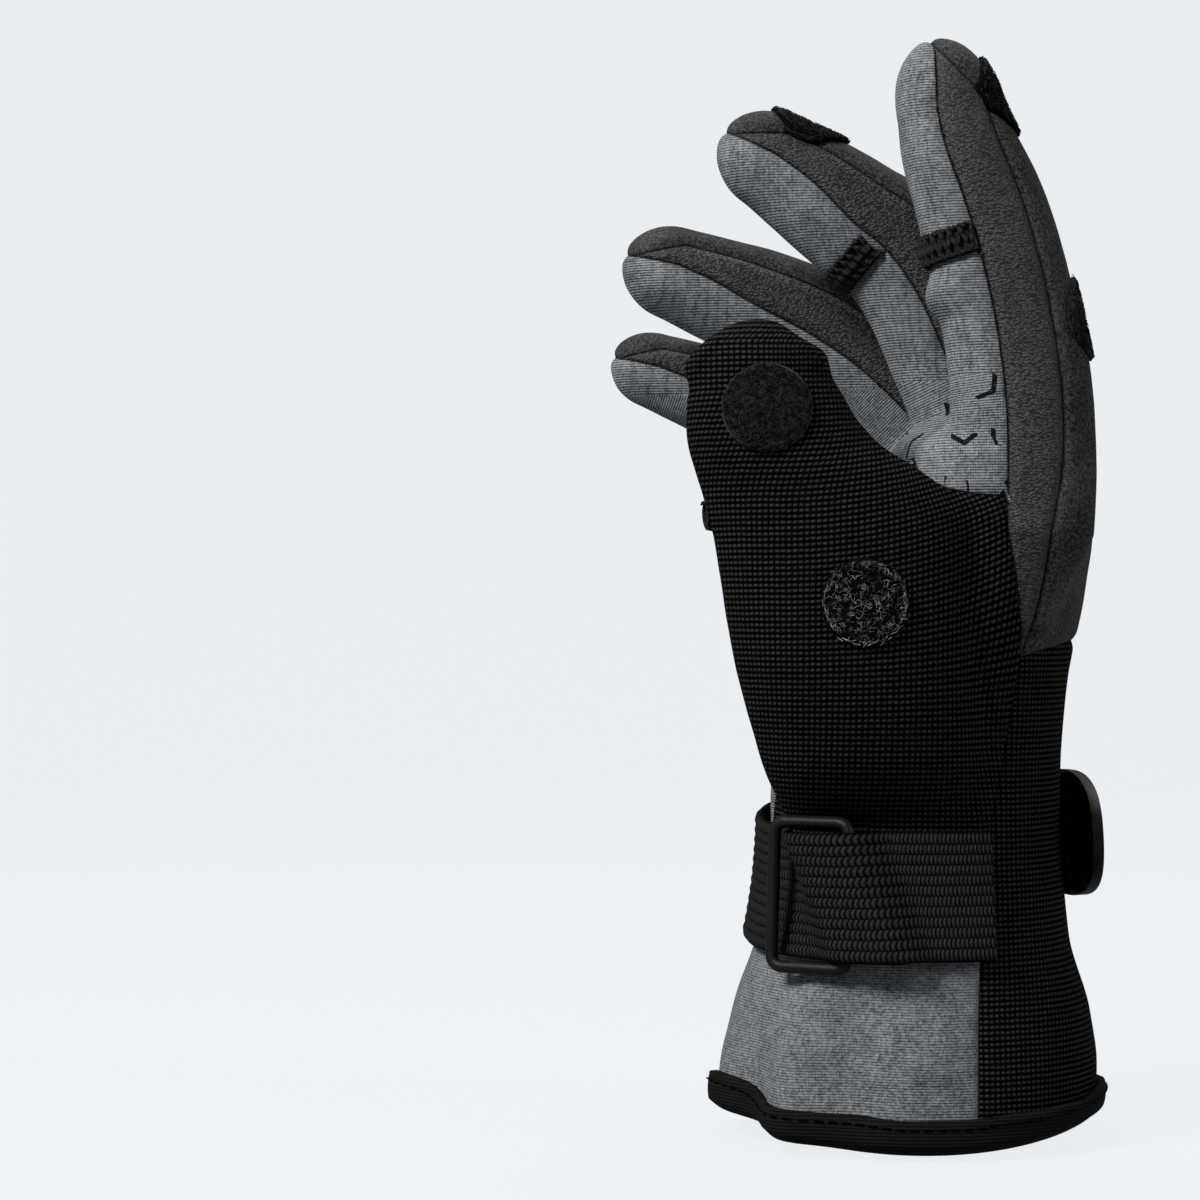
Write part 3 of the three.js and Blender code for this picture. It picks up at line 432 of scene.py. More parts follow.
def strip_seams(finger):
    """The two seams of a finger's side strips, and the line over the tip between palm and back."""
    t = np.linspace(0, 1, 40)
    centre, _, back, rows = finger_station(finger, t)
    lines = []
    for share, foot in ((rows["palm_seam"], -0.03), (rows["back_seam"], 0.14)):
        p = centre + back * (share * finger["thickness"])[:, None]
        line = p[:, [0, 2]]
        if finger["tail"]:
            x, z = finger["knuckle"]
            bend = ((tail_x + x) / 2 + foot * finger["thickness"], (tail_z + z) / 2)
            start = smooth_line([(tail_x, tail_z), bend, line[0]], 20)
            line = np.concatenate([start[:-1], line])
        lines.append(line)
    end, along, _, _ = finger_station(finger, 1.0)
    meet = (end + along * 0.86 * finger["tip"])[[0, 2]]
    beyond = (end + along * 3 * finger["tip"])[[0, 2]]
    finger["palm_side"] = np.concatenate([lines[0], [meet]])
    finger["back_side"] = np.concatenate([lines[1], [meet]])
    middle_line = centre + back * (
        (rows["palm_seam"] + rows["back_seam"]) / 2 * finger["thickness"]
    )[:, None]
    finger["back_outline"] = np.concatenate(
        [
            [(tail_x, tail_z)],
            middle_line[:, [0, 2]],
            [meet, beyond, (-FAR, beyond[1]), (-FAR, FAR), (FAR, FAR), (FAR, tail_z)],
        ]
    )
    finger["strip_outline"] = np.concatenate([finger["palm_side"], finger["back_side"][::-1][1:]])


for finger in fingers:
    strip_seams(finger)

gusset_right = np.array([web_corner, (0.362 * palm_depth, 0.773 * hand_height)])
wrist_above = wrist_seam[wrist_seam[:, 1] > strap_line]
gusset_outline = np.concatenate(
    [
        web_line,
        [(-FAR, 1.2 * hand_height), (-FAR, strap_line)],
        wrist_above[::-1],
        gusset_right[::-1],
    ]
)
cuff_back_outline = np.concatenate(
    [
        wrist_seam,
        [
            (FAR, -0.1 * hand_height),
            (FAR, 0.693 * hand_height),
            (0.66 * palm_depth, 0.688 * hand_height),
        ],
    ]
)
wrist_below = wrist_seam[wrist_seam[:, 1] < strap_line]
cuff_palm_outline = np.concatenate(
    [
        [(-FAR, -FAR), (0.22 * palm_depth, -FAR)],
        wrist_below[::-1],
        [(0.25 * palm_depth, strap_line), (-FAR, strap_line)],
    ]
)
thumb_slit = thumb_foot + 0.66 * thumb_height


def within(outline, x, z):
    """Which points lie inside an outline."""
    inside = np.zeros(len(x), bool)
    for (ax, az), (bx, bz) in zip(outline, np.roll(outline, -1, axis=0)):
        if az == bz:
            continue
        crosses = (az > z) != (bz > z)
        inside ^= crosses & (x < (bx - ax) * (z - az) / (bz - az) + ax)
    return inside


def slit_frame(finger, t):
    centre, along, back, rows = finger_station(finger, t)
    return centre, along, back, float(rows["girth"]) * finger["thickness"] / 2


slits = [(finger, slit_frame(finger, slit_share)) for finger in (index, middle)]

panels = [
    "open", "slit", "palm", "index_tip_palm", "middle_tip_palm", "thumb_tip_palm", "cuff_palm"
]
panels += ["hand_back", "thumb_gusset", "cuff_back"]
for finger in fingers:
    panels += [f"strip_{finger['name']}_thumb_side", f"strip_{finger['name']}_little_side"]
number = {name: i for i, name in enumerate(panels)}


def hem_level(x, y):
    across = (y / (cuff_breadth / 2)) ** 2
    deep = (x / (cuff_depth / 2)) ** 2
    return binding_foot + hem_dip * deep / (deep + across + 1e-9)


def panel_of(points):
    """The number of the panel that each point of the form belongs to; the first claim holds."""
    x, y, z = points.T
    found = np.full(len(points), number["palm"])

    def put(mask, name):
        free = found == number["palm"]
        found[mask & free] = number[name]

    put(z < hem_level(x, y), "open")
    for finger in fingers:
        whole = within(finger["strip_outline"], x, z)
        for side, inner, outer in (("thumb_side", -1, index), ("little_side", 1, little)):
            own = (y < finger["middle"]) if inner < 0 else (y >= finger["middle"])
            reach = own & ((y > finger["low"]) | (finger is index)) & (
                (y < finger["high"]) | (finger is little)
            )
            if finger["tail"] and finger is not outer:
                reach &= z > finger["knuckle"][1] + 2
            put(whole & reach, f"strip_{finger['name']}_{side}")
    put(within(cuff_back_outline, x, z), "cuff_back")
    parting = np.interp(z, parting_line["z"], parting_line["y"])
    put(within(gusset_outline, x, z) & (y < parting), "thumb_gusset")
    in_thumb = (y > parting) & (y < index["high"] - 4.8) & (x < -0.28 * palm_depth)
    in_thumb &= (z > thumb_foot) & (z < 1.2 * hand_height)
    put(in_thumb & (np.abs(z - thumb_slit - slit_width / 2) < slit_width / 2), "slit")
    put(in_thumb & (z > thumb_slit), "thumb_tip_palm")
    put(within(cuff_palm_outline, x, z), "cuff_palm")
    for finger in fingers:
        own = ((y >= finger["low"]) | (finger is index)) & (
            (y < finger["high"]) | (finger is little)
        )
        put(own & within(finger["back_outline"], x, z), "hand_back")
    for finger, (centre, along, back, _) in slits:
        own = (y > finger["low"]) & (y < finger["high"])
        rel = points - centre
        ahead, deep = rel @ along, rel @ back
        shallow = -0.16 * finger["thickness"]
        near = own & (deep < 0.2 * finger["thickness"])
        put(near & (deep < shallow) & (ahead > -slit_width) & (ahead < 0), "slit")
        put(near & (ahead >= -slit_width / 2) & (ahead < 90), f"{finger['name']}_tip_palm")
    return found


def new_object(name, bm):
    mesh = bpy.data.meshes.new(name)
    bm.to_mesh(mesh)
    bm.free()
    obj = bpy.data.objects.new(name, mesh)
    bpy.context.scene.collection.objects.link(obj)
    return obj


def thicken(obj, thickness):
    """Gives a sheet its thickness, inward from its face."""
    sheet = obj.modifiers.new("thickness", "SOLIDIFY")
    sheet.thickness = thickness * MM
    sheet.offset = -1


def applied(obj):
    """The object's mesh with its modifiers applied to it."""
    bpy.context.view_layer.update()
    graph = bpy.context.evaluated_depsgraph_get()
    mesh = bpy.data.meshes.new_from_object(obj.evaluated_get(graph))
    obj.modifiers.clear()
    obj.data = mesh
    return obj


def solid_sheet(name, bm, thickness):
    """A sheet with its thickness, as a mesh that more can be added to."""
    sheet = new_object(name, bm)
    thicken(sheet, thickness)
    applied(sheet)
    bm = bmesh.new()
    bm.from_mesh(sheet.data)
    bpy.data.objects.remove(sheet)
    return bm


bm = bmesh.new()
loft(bm, hand_rings())
loft(bm, thumb_rings())
for finger in fingers:
    loft(bm, finger_rings(finger))
bmesh.ops.recalc_face_normals(bm, faces=bm.faces)
form = new_object("form", bm)
remesh = form.modifiers.new("one skin", "REMESH")
remesh.mode = "VOXEL"
remesh.voxel_size = voxel * MM
soften = form.modifiers.new("soften", "SMOOTH")
soften.factor = 0.5
soften.iterations = 7
applied(form)

# Cut the skin along the seams: every edge between two panels is split where they meet
bm = bmesh.new()
bm.from_mesh(form.data)
bm.verts.ensure_lookup_table()
co = np.array([v.co for v in bm.verts]) / MM
owner = panel_of(co)
crossing = [e for e in bm.edges if owner[e.verts[0].index] != owner[e.verts[1].index]]
first = co[[e.verts[0].index for e in crossing]]
second = co[[e.verts[1].index for e in crossing]]
first_owner = owner[[e.verts[0].index for e in crossing]]
low, high = np.zeros(len(crossing)), np.ones(len(crossing))
for _ in range(9):  # halving finds the seam on each crossing edge
    half = (low + high) / 2
    same = panel_of(first + (second - first) * half[:, None]) == first_owner
    low, high = np.where(same, half, low), np.where(same, high, half)
split = {}
for e, share in zip(crossing, np.clip((low + high) / 2, 0.06, 0.94)):
    near = e.verts[0]
    _, vertex = bmesh.utils.edge_split(e, near, float(share))
    split[vertex] = True
for face in list({f for v in split for f in v.link_faces}):
    marks = [v for v in face.verts if v in split]
    if len(marks) == 2:
        if not any(e.other_vert(marks[0]) is marks[1] for e in marks[0].link_edges):
            bmesh.utils.face_split(face, marks[0], marks[1])
    elif len(marks) > 2:
        middle_point = sum((v.co for v in marks), Vector()) / len(marks)
        fan = bmesh.ops.poke(bm, faces=[face])["verts"][0]
        fan.co = middle_point
bm.verts.ensure_lookup_table()
bm.faces.ensure_lookup_table()
bm.normal_update()

# Draw the cloth in at the seams, and give it the slight unevenness of stretched fabric
seam_width, seam_depth = 2.4, 0.8
slit_depth = 1.5
centres = np.array([f.calc_center_median() for f in bm.faces]) / MM
face_owner = panel_of(centres)
slit_verts = {v for f, at in zip(bm.faces, face_owner) if at == number["slit"] for v in f.verts}
face_owner = np.where(face_owner == number["slit"], number["palm"], face_owner)
for face, at in zip(bm.faces, face_owner):
    face.material_index = int(at)
seam_points = [
    v
    for v in split
    if v.is_valid
    and number["open"] not in {f.material_index for f in v.link_faces}
    and len({f.material_index for f in v.link_faces}) > 1
]
tree = kdtree.KDTree(len(seam_points))
for i, v in enumerate(seam_points):
    tree.insert(v.co, i)
tree.balance()
seam_away = bm.verts.layers.float.new("seam")
moves = []
for v in bm.verts:
    _, _, away = tree.find(v.co)
    away /= MM
    v[seam_away] = away
    groove = seam_depth * max(0, 1 - away / seam_width) ** 2
    if v in slit_verts:
        groove = slit_depth
    wave = 0.28 * noise.noise(v.co / (17 * MM)) + 0.1 * noise.noise(v.co / (6 * MM))
    moves.append(v.normal * (wave - groove) * MM)
# Below the slit of the index finger the grey cloth stands out in a small lip
lip_foot, lip_top, lip_side, lip_height = -12, -1.2, 13, 1.9
lip_centre, lip_along, lip_back, _ = slit_frame(index, slit_share)
for i, v in enumerate(bm.verts):
    rel = np.array(v.co) / MM - lip_centre
    ahead, deep = rel @ lip_along, rel @ lip_back
    in_front = deep < -0.2 * index["thickness"] and abs(rel[1]) < lip_side
    if lip_foot < ahead < lip_top and in_front:
        swell = math.sin(math.pi * (ahead - lip_foot) / (lip_top - lip_foot)) ** 1.5
        swell *= min(1, -(deep + 5.4) / 6)
        moves[i] += Vector(-lip_back * lip_height * MM * max(0, swell))
for v, move in zip(bm.verts, moves):
    v.co += move

# Coordinates for the knits: how far round and how far along the hand, thumb or finger, in mm
bm.normal_update()
loops_at = np.array([l.vert.co for f in bm.faces for l in f.loops]) / MM
face_of_loop = np.array([f.index for f in bm.faces for _ in f.loops])


def round_length(half_x, half_y, x, y):
    """Distance round an oval section from its thumb side."""
    angle = np.arctan2(x / half_x, -y / half_y)
    return (half_x + half_y) / 2 * angle + (half_x - half_y) / 4 * np.sin(2 * angle)


def hand_chart(points):
    x, y, z = points.T
    rise = np.clip(z / hand_height, 0, 1)
    rows = sample_at(hand_rows, rise)
    half_x, half_y = rows["depth"] / 2, rows["breadth"] / 2
    cx, cy = rows["back"] * palm_depth, rows["side"] * palm_breadth
    fit = (np.abs((x - cx) / half_x) ** 2.3 + np.abs((y - cy) / half_y) ** 2.3) ** (1 / 2.3)
    off = np.abs(fit - 1) * np.minimum(half_x, half_y) + np.maximum(0, z - 150) * 2
    return off, round_length(half_x, half_y, x - cx, y - cy) + cx, z


def thumb_chart(points):
    x, y, z = points.T
    rows = sample_at(thumb_rows, (z - thumb_foot) / thumb_height)
    half_x = (rows["rear"] - rows["front"]) / 2 * thumb_width
    half_y = rows["thick"] * thumb_thickness / 2
    cx = (rows["front"] + rows["rear"]) / 2 * thumb_width
    cy = rows["side"] * thumb_thickness
    fit = (np.abs((x - cx) / half_x) ** 2.15 + np.abs((y - cy) / half_y) ** 2.15) ** (1 / 2.15)
    fit = np.where(z > thumb_foot + thumb_height, 1, fit)
    off = np.abs(fit - 1) * np.minimum(half_x, half_y) + np.maximum(0, thumb_foot + 4 - z) * 3
    return off, round_length(half_x, half_y, x - cx, y - cy) + cx, z


def finger_chart(finger):
    stations = finger_station(finger, np.linspace(0, 1, 60))
    centre, along, back, rows = stations
    run = np.concatenate([[0], np.cumsum(np.linalg.norm(np.diff(centre, axis=0), axis=1))])
    half_y = finger["breadth"] / 2 - spare

    def chart(points):
        flat = points[:, [0, 2]]
        near = np.argmin(((flat[:, None] - centre[None][:, :, [0, 2]]) ** 2).sum(axis=2), axis=1)
        rel = points - centre[near]
        ahead = (rel * along[near]).sum(axis=1)
        deep = (rel * back[near]).sum(axis=1)
        half_x = rows["girth"][near] * finger["thickness"] / 2
        fit = (np.abs(deep / half_x) ** 2.2 + np.abs(rel[:, 1] / half_y) ** 2.2) ** (1 / 2.2)
        last = near == len(centre) - 1
        off = np.where(last, 0, np.abs(fit - 1) * half_y) + np.where(
            near == 0, np.maximum(0, -ahead) * 2, 0
        )
        off += np.where(np.abs(rel[:, 1]) > half_y + 2, 50, 0)
        return off, round_length(half_x, half_y, deep, rel[:, 1]), run[near] + ahead

    return chart


# The gusset's columns keep their width: across each level, u is the distance over the cloth as
# it is met from the thumb side, and it goes on round the front of the thumb.
near_side = BVHTree.FromBMesh(bm)
chart_x, chart_z = np.arange(-64, 37, 1.0), np.arange(38, 156, 2.0)
chart_y = np.full((len(chart_z), len(chart_x)), np.nan)
for row, z in enumerate(chart_z):
    for column, x in enumerate(chart_x):
        hit, _, _, _ = near_side.ray_cast(Vector((x, -200, z)) * MM, Vector((0, 1, 0)))
        if hit:
            chart_y[row, column] = hit.y / MM
slope = np.nan_to_num(np.diff(chart_y, axis=1, append=chart_y[:, -1:]))
steps = np.sqrt(1 + np.clip(slope, -1.6, 1.6) ** 2)
steps = sum(np.roll(steps, k, axis=0) for k in range(-4, 5)) / 9
run_x = np.cumsum(steps, axis=1)
run_x += -10 - run_x[:, [54]]  # column 54 is at x = -10 mm, where every level starts its count
row_y = np.nan_to_num(chart_y, nan=0.0)


def grid_value(values, x, z):
    i = np.clip(x - chart_x[0], 0, len(chart_x) - 1.001)
    j = np.clip((z - chart_z[0]) / 2, 0, len(chart_z) - 1.001)
    i0, j0 = i.astype(int), j.astype(int)
    fi, fj = i - i0, j - j0
    near = values[j0, i0] * (1 - fi) + values[j0, i0 + 1] * fi
    far = values[j0 + 1, i0] * (1 - fi) + values[j0 + 1, i0 + 1] * fi
    return near * (1 - fj) + far * fj


def gusset_chart(points):
    """Cloth more than 2.5 mm behind the near face has gone round the front of the thumb."""
    x, y, z = points.T
    behind = np.maximum(0, y - grid_value(row_y, x, z) - 2.5)
    return np.zeros(len(x)), grid_value(run_x, x, z) - np.where(x < 0, behind, 0), z


charts = [hand_chart, thumb_chart, gusset_chart] + [finger_chart(f) for f in fingers]
off = np.stack([chart(centres)[0] for chart in charts])
off[2] = 1000  # the gusset's chart serves the gusset only
best = np.argmin(off, axis=0)
best = np.where(face_owner == number["thumb_gusset"], 2, best)
best = np.where(np.isin(face_owner, [number["cuff_back"], number["cuff_palm"]]), 0, best)
around, length = np.zeros(len(loops_at)), np.zeros(len(loops_at))
for k, chart in enumerate(charts):
    mine = best[face_of_loop] == k
    if mine.any():
        _, u, v = chart(loops_at[mine])
        around[mine], length[mine] = u, v
weave_map = bm.loops.layers.uv.new("weave")
i = 0
for face in bm.faces:
    for corner in face.loops:
        corner[weave_map].uv = (around[i] / uv_unit, length[i] / uv_unit)
        i += 1
cut_away = [f for f in bm.faces if f.material_index == number["open"]]
bmesh.ops.delete(bm, geom=cut_away, context="FACES")
body_surface = BVHTree.FromBMesh(bm)
bm.to_mesh(form.data)

panel_object = {}
for name in panels[2:]:
    piece = bm.copy()
    others = [f for f in piece.faces if f.material_index != number[name]]
    bmesh.ops.delete(piece, geom=others, context="FACES")
    for face in piece.faces:
        face.material_index = 0
        face.smooth = True
    obj = new_object(f"{name}_cloth", piece)
    thicken(obj, wall)
    panel_object[name] = obj
bm.free()
bpy.data.objects.remove(form)


def cloth_panel(name, material):
    obj = panel_object[name]
    obj.data.materials.clear()
    obj.data.materials.append(material)
    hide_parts(name)
    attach(obj, "root")
    return obj


# ---------------------------------------------------------------------------
# Grey palm, fold-back tips and cuff front
# Heather grey stretch knit, a fine woven-looking face with dark and light flecks. A scattered
# black grip print covers the palm. It is cut and sewn; the tips open along overlocked slits.
def link(tree, source, target):
    tree.links.new(source, target)


def math_node(tree, operation, a, b=None, c=None):
    node = tree.nodes.new("ShaderNodeMath")
    node.operation = operation
    for socket, value in zip(node.inputs, (a, b, c)):
        if value is None:
            continue
        if isinstance(value, (int, float)):
            socket.default_value = value
        else:
            link(tree, value, socket)
    return node.outputs[0]


def plus(tree, a, b):
    return math_node(tree, "ADD", a, b)


def minus(tree, a, b):
    return math_node(tree, "SUBTRACT", a, b)


def times(tree, a, b):
    return math_node(tree, "MULTIPLY", a, b)


def over(tree, a, b):
    return math_node(tree, "DIVIDE", a, b)


def absolute(tree, a):
    return math_node(tree, "ABSOLUTE", a)


def ridges(tree, value):
    """Rounded ridges, one to each whole number."""
    return absolute(tree, math_node(tree, "SINE", times(tree, value, math.pi)))


def split_axes(tree, vector):
    node = tree.nodes.new("ShaderNodeSeparateXYZ")
    link(tree, vector, node.inputs[0])
    return node.outputs


def vector_node(tree, operation, a, b):
    node = tree.nodes.new("ShaderNodeVectorMath")
    node.operation = operation
    for socket, value in zip(node.inputs, (a, b)):
        if isinstance(value, tuple):
            socket.default_value = value
        else:
            link(tree, value, socket)
    return node.outputs[0]


def new_group(name, inputs, outputs):
    group = bpy.data.node_groups.new(name, "ShaderNodeTree")
    for label, kind, value in inputs:
        socket = group.interface.new_socket(name=label, in_out="INPUT", socket_type=kind)
        if value is not None:
            socket.default_value = value
    for label, kind in outputs:
        group.interface.new_socket(name=label, in_out="OUTPUT", socket_type=kind)
    entry = group.nodes.new("NodeGroupInput")
    leave = group.nodes.new("NodeGroupOutput")
    return group, entry.outputs, leave.inputs


def place_group(tree, group, **values):
    node = tree.nodes.new("ShaderNodeGroup")
    node.node_tree = group
    for label, value in values.items():
        socket = node.inputs[label.replace("_", " ")]
        if isinstance(value, (int, float, tuple)):
            socket.default_value = value
        else:
            link(tree, value, socket)
    return node.outputs


def mix_colour(tree, factor, a, b):
    node = tree.nodes.new("ShaderNodeMix")
    node.data_type = "RGBA"
    link(tree, factor, node.inputs["Factor"])
    sockets = [s for s in node.inputs if s.type == "RGBA"]
    for socket, value in zip(sockets, (a, b)):
        if isinstance(value, tuple):
            socket.default_value = (*value, 1)
        else:
            link(tree, value, socket)
    return next(s for s in node.outputs if s.type == "RGBA")


def noise_node(tree, vector, scale, detail=2.0, roughness=0.5, output="Fac"):
    node = tree.nodes.new("ShaderNodeTexNoise")
    node.inputs["Scale"].default_value = scale
    node.inputs["Detail"].default_value = detail
    node.inputs["Roughness"].default_value = roughness
    link(tree, vector, node.inputs["Vector"])
    return node.outputs[output]


def ramp(tree, value, low, high):
    node = tree.nodes.new("ShaderNodeMapRange")
    node.interpolation_type = "SMOOTHSTEP"
    node.inputs["From Min"].default_value = low
    node.inputs["From Max"].default_value = high
    link(tree, value, node.inputs["Value"])
    return node.outputs["Result"]


def uv_node(tree):
    node = tree.nodes.new("ShaderNodeUVMap")
    node.uv_map = "weave"
    return node.outputs["UV"]


def object_node(tree):
    return tree.nodes.new("ShaderNodeTexCoord").outputs["Object"]


def bump_node(tree, height, distance, strength=1.0):
    node = tree.nodes.new("ShaderNodeBump")
    node.inputs["Strength"].default_value = strength
    node.inputs["Distance"].default_value = distance * MM
    link(tree, height, node.inputs["Height"])
    return node.outputs["Normal"]


def new_material(name, roughness, sheen=0.0, sheen_tint=(1, 1, 1), specular=0.3):
    material = bpy.data.materials.new(name)
    material.use_nodes = True
    shader = material.node_tree.nodes["Principled BSDF"]
    shader.inputs["Roughness"].default_value = roughness
    shader.inputs["Specular IOR Level"].default_value = specular
    shader.inputs["Sheen Weight"].default_value = sheen
    shader.inputs["Sheen Roughness"].default_value = 0.45
    shader.inputs["Sheen Tint"].default_value = (*sheen_tint, 1)
    return material, material.node_tree, shader


def dress_shader(tree, shader, colour, height, depth):
    """Gives a shader its colour and a relief, with its depth in mm."""
    link(tree, colour, shader.inputs["Base Color"])
    link(tree, bump_node(tree, height, depth), shader.inputs["Normal"])


def speckled_material(name, roughness, specks, dark, light, depth, patchy=False, **looks):
    """Black stuff in two tones; specks gives the noise its scale, detail and roughness."""
    material, tree, shader = new_material(name, roughness, **looks)
    height = noise_node(tree, object_node(tree), *specks)
    tone = ramp(tree, height, 0.35, 0.7) if patchy else height
    dress_shader(tree, shader, mix_colour(tree, tone, dark, light), height, depth)
    return material


# A plain knit: rows and columns of small round stitches, from a UV map in tenths of a metre
knit, entry, leave = new_group(
    "knit rows",
    [
        ("Vector", "NodeSocketVector", None),
        ("Row", "NodeSocketFloat", 1.0),
        ("Column", "NodeSocketFloat", 1.0),
        ("Waviness", "NodeSocketFloat", 0.1),
        ("Column Depth", "NodeSocketFloat", 1.0),
    ],
    [("Height", "NodeSocketFloat"), ("Row Height", "NodeSocketFloat")],
)
axes = split_axes(knit, entry["Vector"])
wander = noise_node(knit, entry["Vector"], 22, 1)
wander = times(knit, minus(knit, wander, 0.5), entry["Waviness"])
rows_at = plus(knit, over(knit, times(knit, axes["Y"], uv_unit), entry["Row"]), wander)
columns_at = plus(knit, over(knit, times(knit, axes["X"], uv_unit), entry["Column"]), wander)
row_round = math_node(knit, "POWER", ridges(knit, rows_at), 0.6)
column_round = math_node(knit, "POWER", ridges(knit, columns_at), 0.45)
shallow = times(knit, minus(knit, 1.0, column_round), entry["Column Depth"])
link(knit, times(knit, row_round, minus(knit, 1.0, shallow)), leave["Height"])
link(knit, row_round, leave["Row Height"])


def seam_line(tree, reach=0.55):
    """1 on a seam, fading to 0 beside it."""
    node = tree.nodes.new("ShaderNodeAttribute")
    node.attribute_name = "seam"
    return minus(tree, 1.0, ramp(tree, node.outputs["Fac"], 0.1, reach))


def heather_material(name, printed, stitch_share, cloud_share):
    material, tree, shader = new_material(name, 0.95, sheen=0.05, specular=0.1)
    uv = uv_node(tree)
    place = object_node(tree)
    stitches = place_group(
        tree, knit, Vector=uv, Row=0.56, Column=0.56, Waviness=0.2, Column_Depth=0.3
    )
    flecks = noise_node(tree, place, 1500, 3, 0.75)
    clouds = noise_node(tree, place, 240, 4, 0.65)
    tone = plus(tree, times(tree, flecks, 0.85), times(tree, clouds, cloud_share))
    tone = plus(tree, tone, times(tree, stitches["Height"], stitch_share))
    middle_tone = 0.425 + 0.5 * cloud_share + 0.7 * stitch_share
    tone = ramp(tree, tone, middle_tone - 0.27, middle_tone + 0.37)
    colour = mix_colour(tree, tone, (0.035, 0.037, 0.041), (0.43, 0.455, 0.485))
    # Painted shade: broad random patches darken the grey toward charcoal, standing in for the soft
    # shading of folds.
    broad_painted_shade = ramp(tree, noise_node(tree, place, 38, 2, 0.5), 0.3, 0.75)
    colour = mix_colour(tree, times(tree, broad_painted_shade, 0.28), colour, (0.075, 0.08, 0.086))
    if printed:
        mask = place_group(tree, grip_print, Vector=uv)["Mask"]
        here = split_axes(tree, place)
        above_web = math_node(tree, "MAXIMUM", minus(tree, here["Z"], 0.105), 0.0)
        thumb_side = minus(tree, here["X"], times(tree, above_web, 0.6))
        within_palm = math_node(tree, "GREATER_THAN", thumb_side, -0.027)
        mask = times(tree, mask, within_palm)
        worn = times(tree, mask, ramp(tree, flecks, 0.2, 0.42))
        colour = mix_colour(tree, worn, colour, (0.006, 0.006, 0.0065))
    colour = mix_colour(tree, seam_line(tree), colour, (0.008, 0.008, 0.008))
    height = plus(tree, stitches["Height"], times(tree, flecks, 0.9))
    dress_shader(tree, shader, colour, height, 0.13)
    return material


# The grip print: in each cell of a jittered net, an open ring or a chevron, turned at random
print_cell = 13.0
grip_print, entry, leave = new_group(
    "grip print", [("Vector", "NodeSocketVector", None)], [("Mask", "NodeSocketFloat")]
)
cells = grip_print.nodes.new("ShaderNodeTexVoronoi")
cells.inputs["Scale"].default_value = uv_unit / print_cell
cells.inputs["Randomness"].default_value = 0.55
link(grip_print, entry["Vector"], cells.inputs["Vector"])
offset = vector_node(grip_print, "SUBTRACT", entry["Vector"], cells.outputs["Position"])
cell_colour = grip_print.nodes.new("ShaderNodeSeparateColor")
link(grip_print, cells.outputs["Color"], cell_colour.inputs[0])
turn = grip_print.nodes.new("ShaderNodeVectorRotate")
turn.rotation_type = "Z_AXIS"
link(grip_print, offset, turn.inputs["Vector"])
link(grip_print, times(grip_print, cell_colour.outputs["Red"], 6.28), turn.inputs["Angle"])
axes = split_axes(grip_print, turn.outputs[0])
lx, ly = (times(grip_print, axes[axis], uv_unit) for axis in "XY")
oval_x, oval_y = (
    math_node(grip_print, "POWER", over(grip_print, way, half), 2.0)
    for way, half in ((lx, 4.6), (ly, 2.6))
)
oval = math_node(grip_print, "SQRT", plus(grip_print, oval_x, oval_y))
oval_line = math_node(
    grip_print, "LESS_THAN", absolute(grip_print, minus(grip_print, oval, 1.0)), 0.1
)
bent = minus(grip_print, ly, times(grip_print, absolute(grip_print, lx), 0.6))
chevron = times(
    grip_print,
    math_node(grip_print, "LESS_THAN", absolute(grip_print, bent), 0.6),
    math_node(grip_print, "LESS_THAN", absolute(grip_print, lx), 3.2),
)
which = math_node(grip_print, "GREATER_THAN", cell_colour.outputs["Green"], 0.5)
motif = plus(
    grip_print,
    times(grip_print, oval_line, which),
    times(grip_print, chevron, minus(grip_print, 1.0, which)),
)
link(grip_print, math_node(grip_print, "MINIMUM", motif, 1.0), leave["Mask"])

soft_heather = heather_material("grey heather knit of the cuff", False, 0.2, 0.3)
plain_heather = heather_material("grey heather knit", False, 0.34, 0.4)
printed_heather = heather_material("grey heather knit with grip print", True, 0.52, 0.45)
cloth_panel("palm", printed_heather)
for name in ("index_tip_palm", "middle_tip_palm", "thumb_tip_palm"):
    cloth_panel(name, plain_heather)
cloth_panel("cuff_palm", soft_heather)

# ---------------------------------------------------------------------------
# Thumb gusset and cuff back
# One black stretch knit for both, with a grid of short raised ribs 1.2 mm apart. The rows
# run level round the wrist and climb towards the web between thumb and index finger.
rib_row, rib_column = 1.13, 1.2


def rib_material(name, climb):
    material, tree, shader = new_material(name, 0.9, sheen=0.0, specular=0.03)
    uv = uv_node(tree)
    place = object_node(tree)
    if climb:
        here = split_axes(tree, place)
        out = math_node(tree, "MAXIMUM", plus(tree, here["X"], 0.030), 0.0)
        strong = ramp(tree, here["Z"], 0.078, 0.130)
        lift = times(tree, times(tree, out, out), times(tree, strong, 4.6))
        shift = tree.nodes.new("ShaderNodeCombineXYZ")
        link(tree, times(tree, lift, -10.0), shift.inputs["Y"])
        uv = vector_node(tree, "ADD", uv, shift.outputs[0])
    ribs = place_group(
        tree, knit, Vector=uv, Row=rib_row, Column=rib_column, Waviness=0.14, Column_Depth=0.6
    )
    lint = noise_node(tree, place, 1800, 2, 0.6)
    # Painted light and shade: the colour follows the rib height, so the rib tops carry painted
    # highlights and the gaps between them painted shade.
    tone = times(tree, ribs["Height"], plus(tree, times(tree, lint, 0.7), 0.6))
    tone = ramp(tree, tone, 0.5, 1.15)
    colour = mix_colour(tree, tone, (0.0004, 0.0004, 0.0004), (0.05, 0.05, 0.051))
    height = plus(tree, ribs["Height"], times(tree, lint, 0.15))
    dress_shader(tree, shader, colour, height, 0.6)
    return material


cloth_panel("thumb_gusset", rib_material("black rib knit, climbing", True))
cloth_panel("cuff_back", rib_material("black rib knit", False))

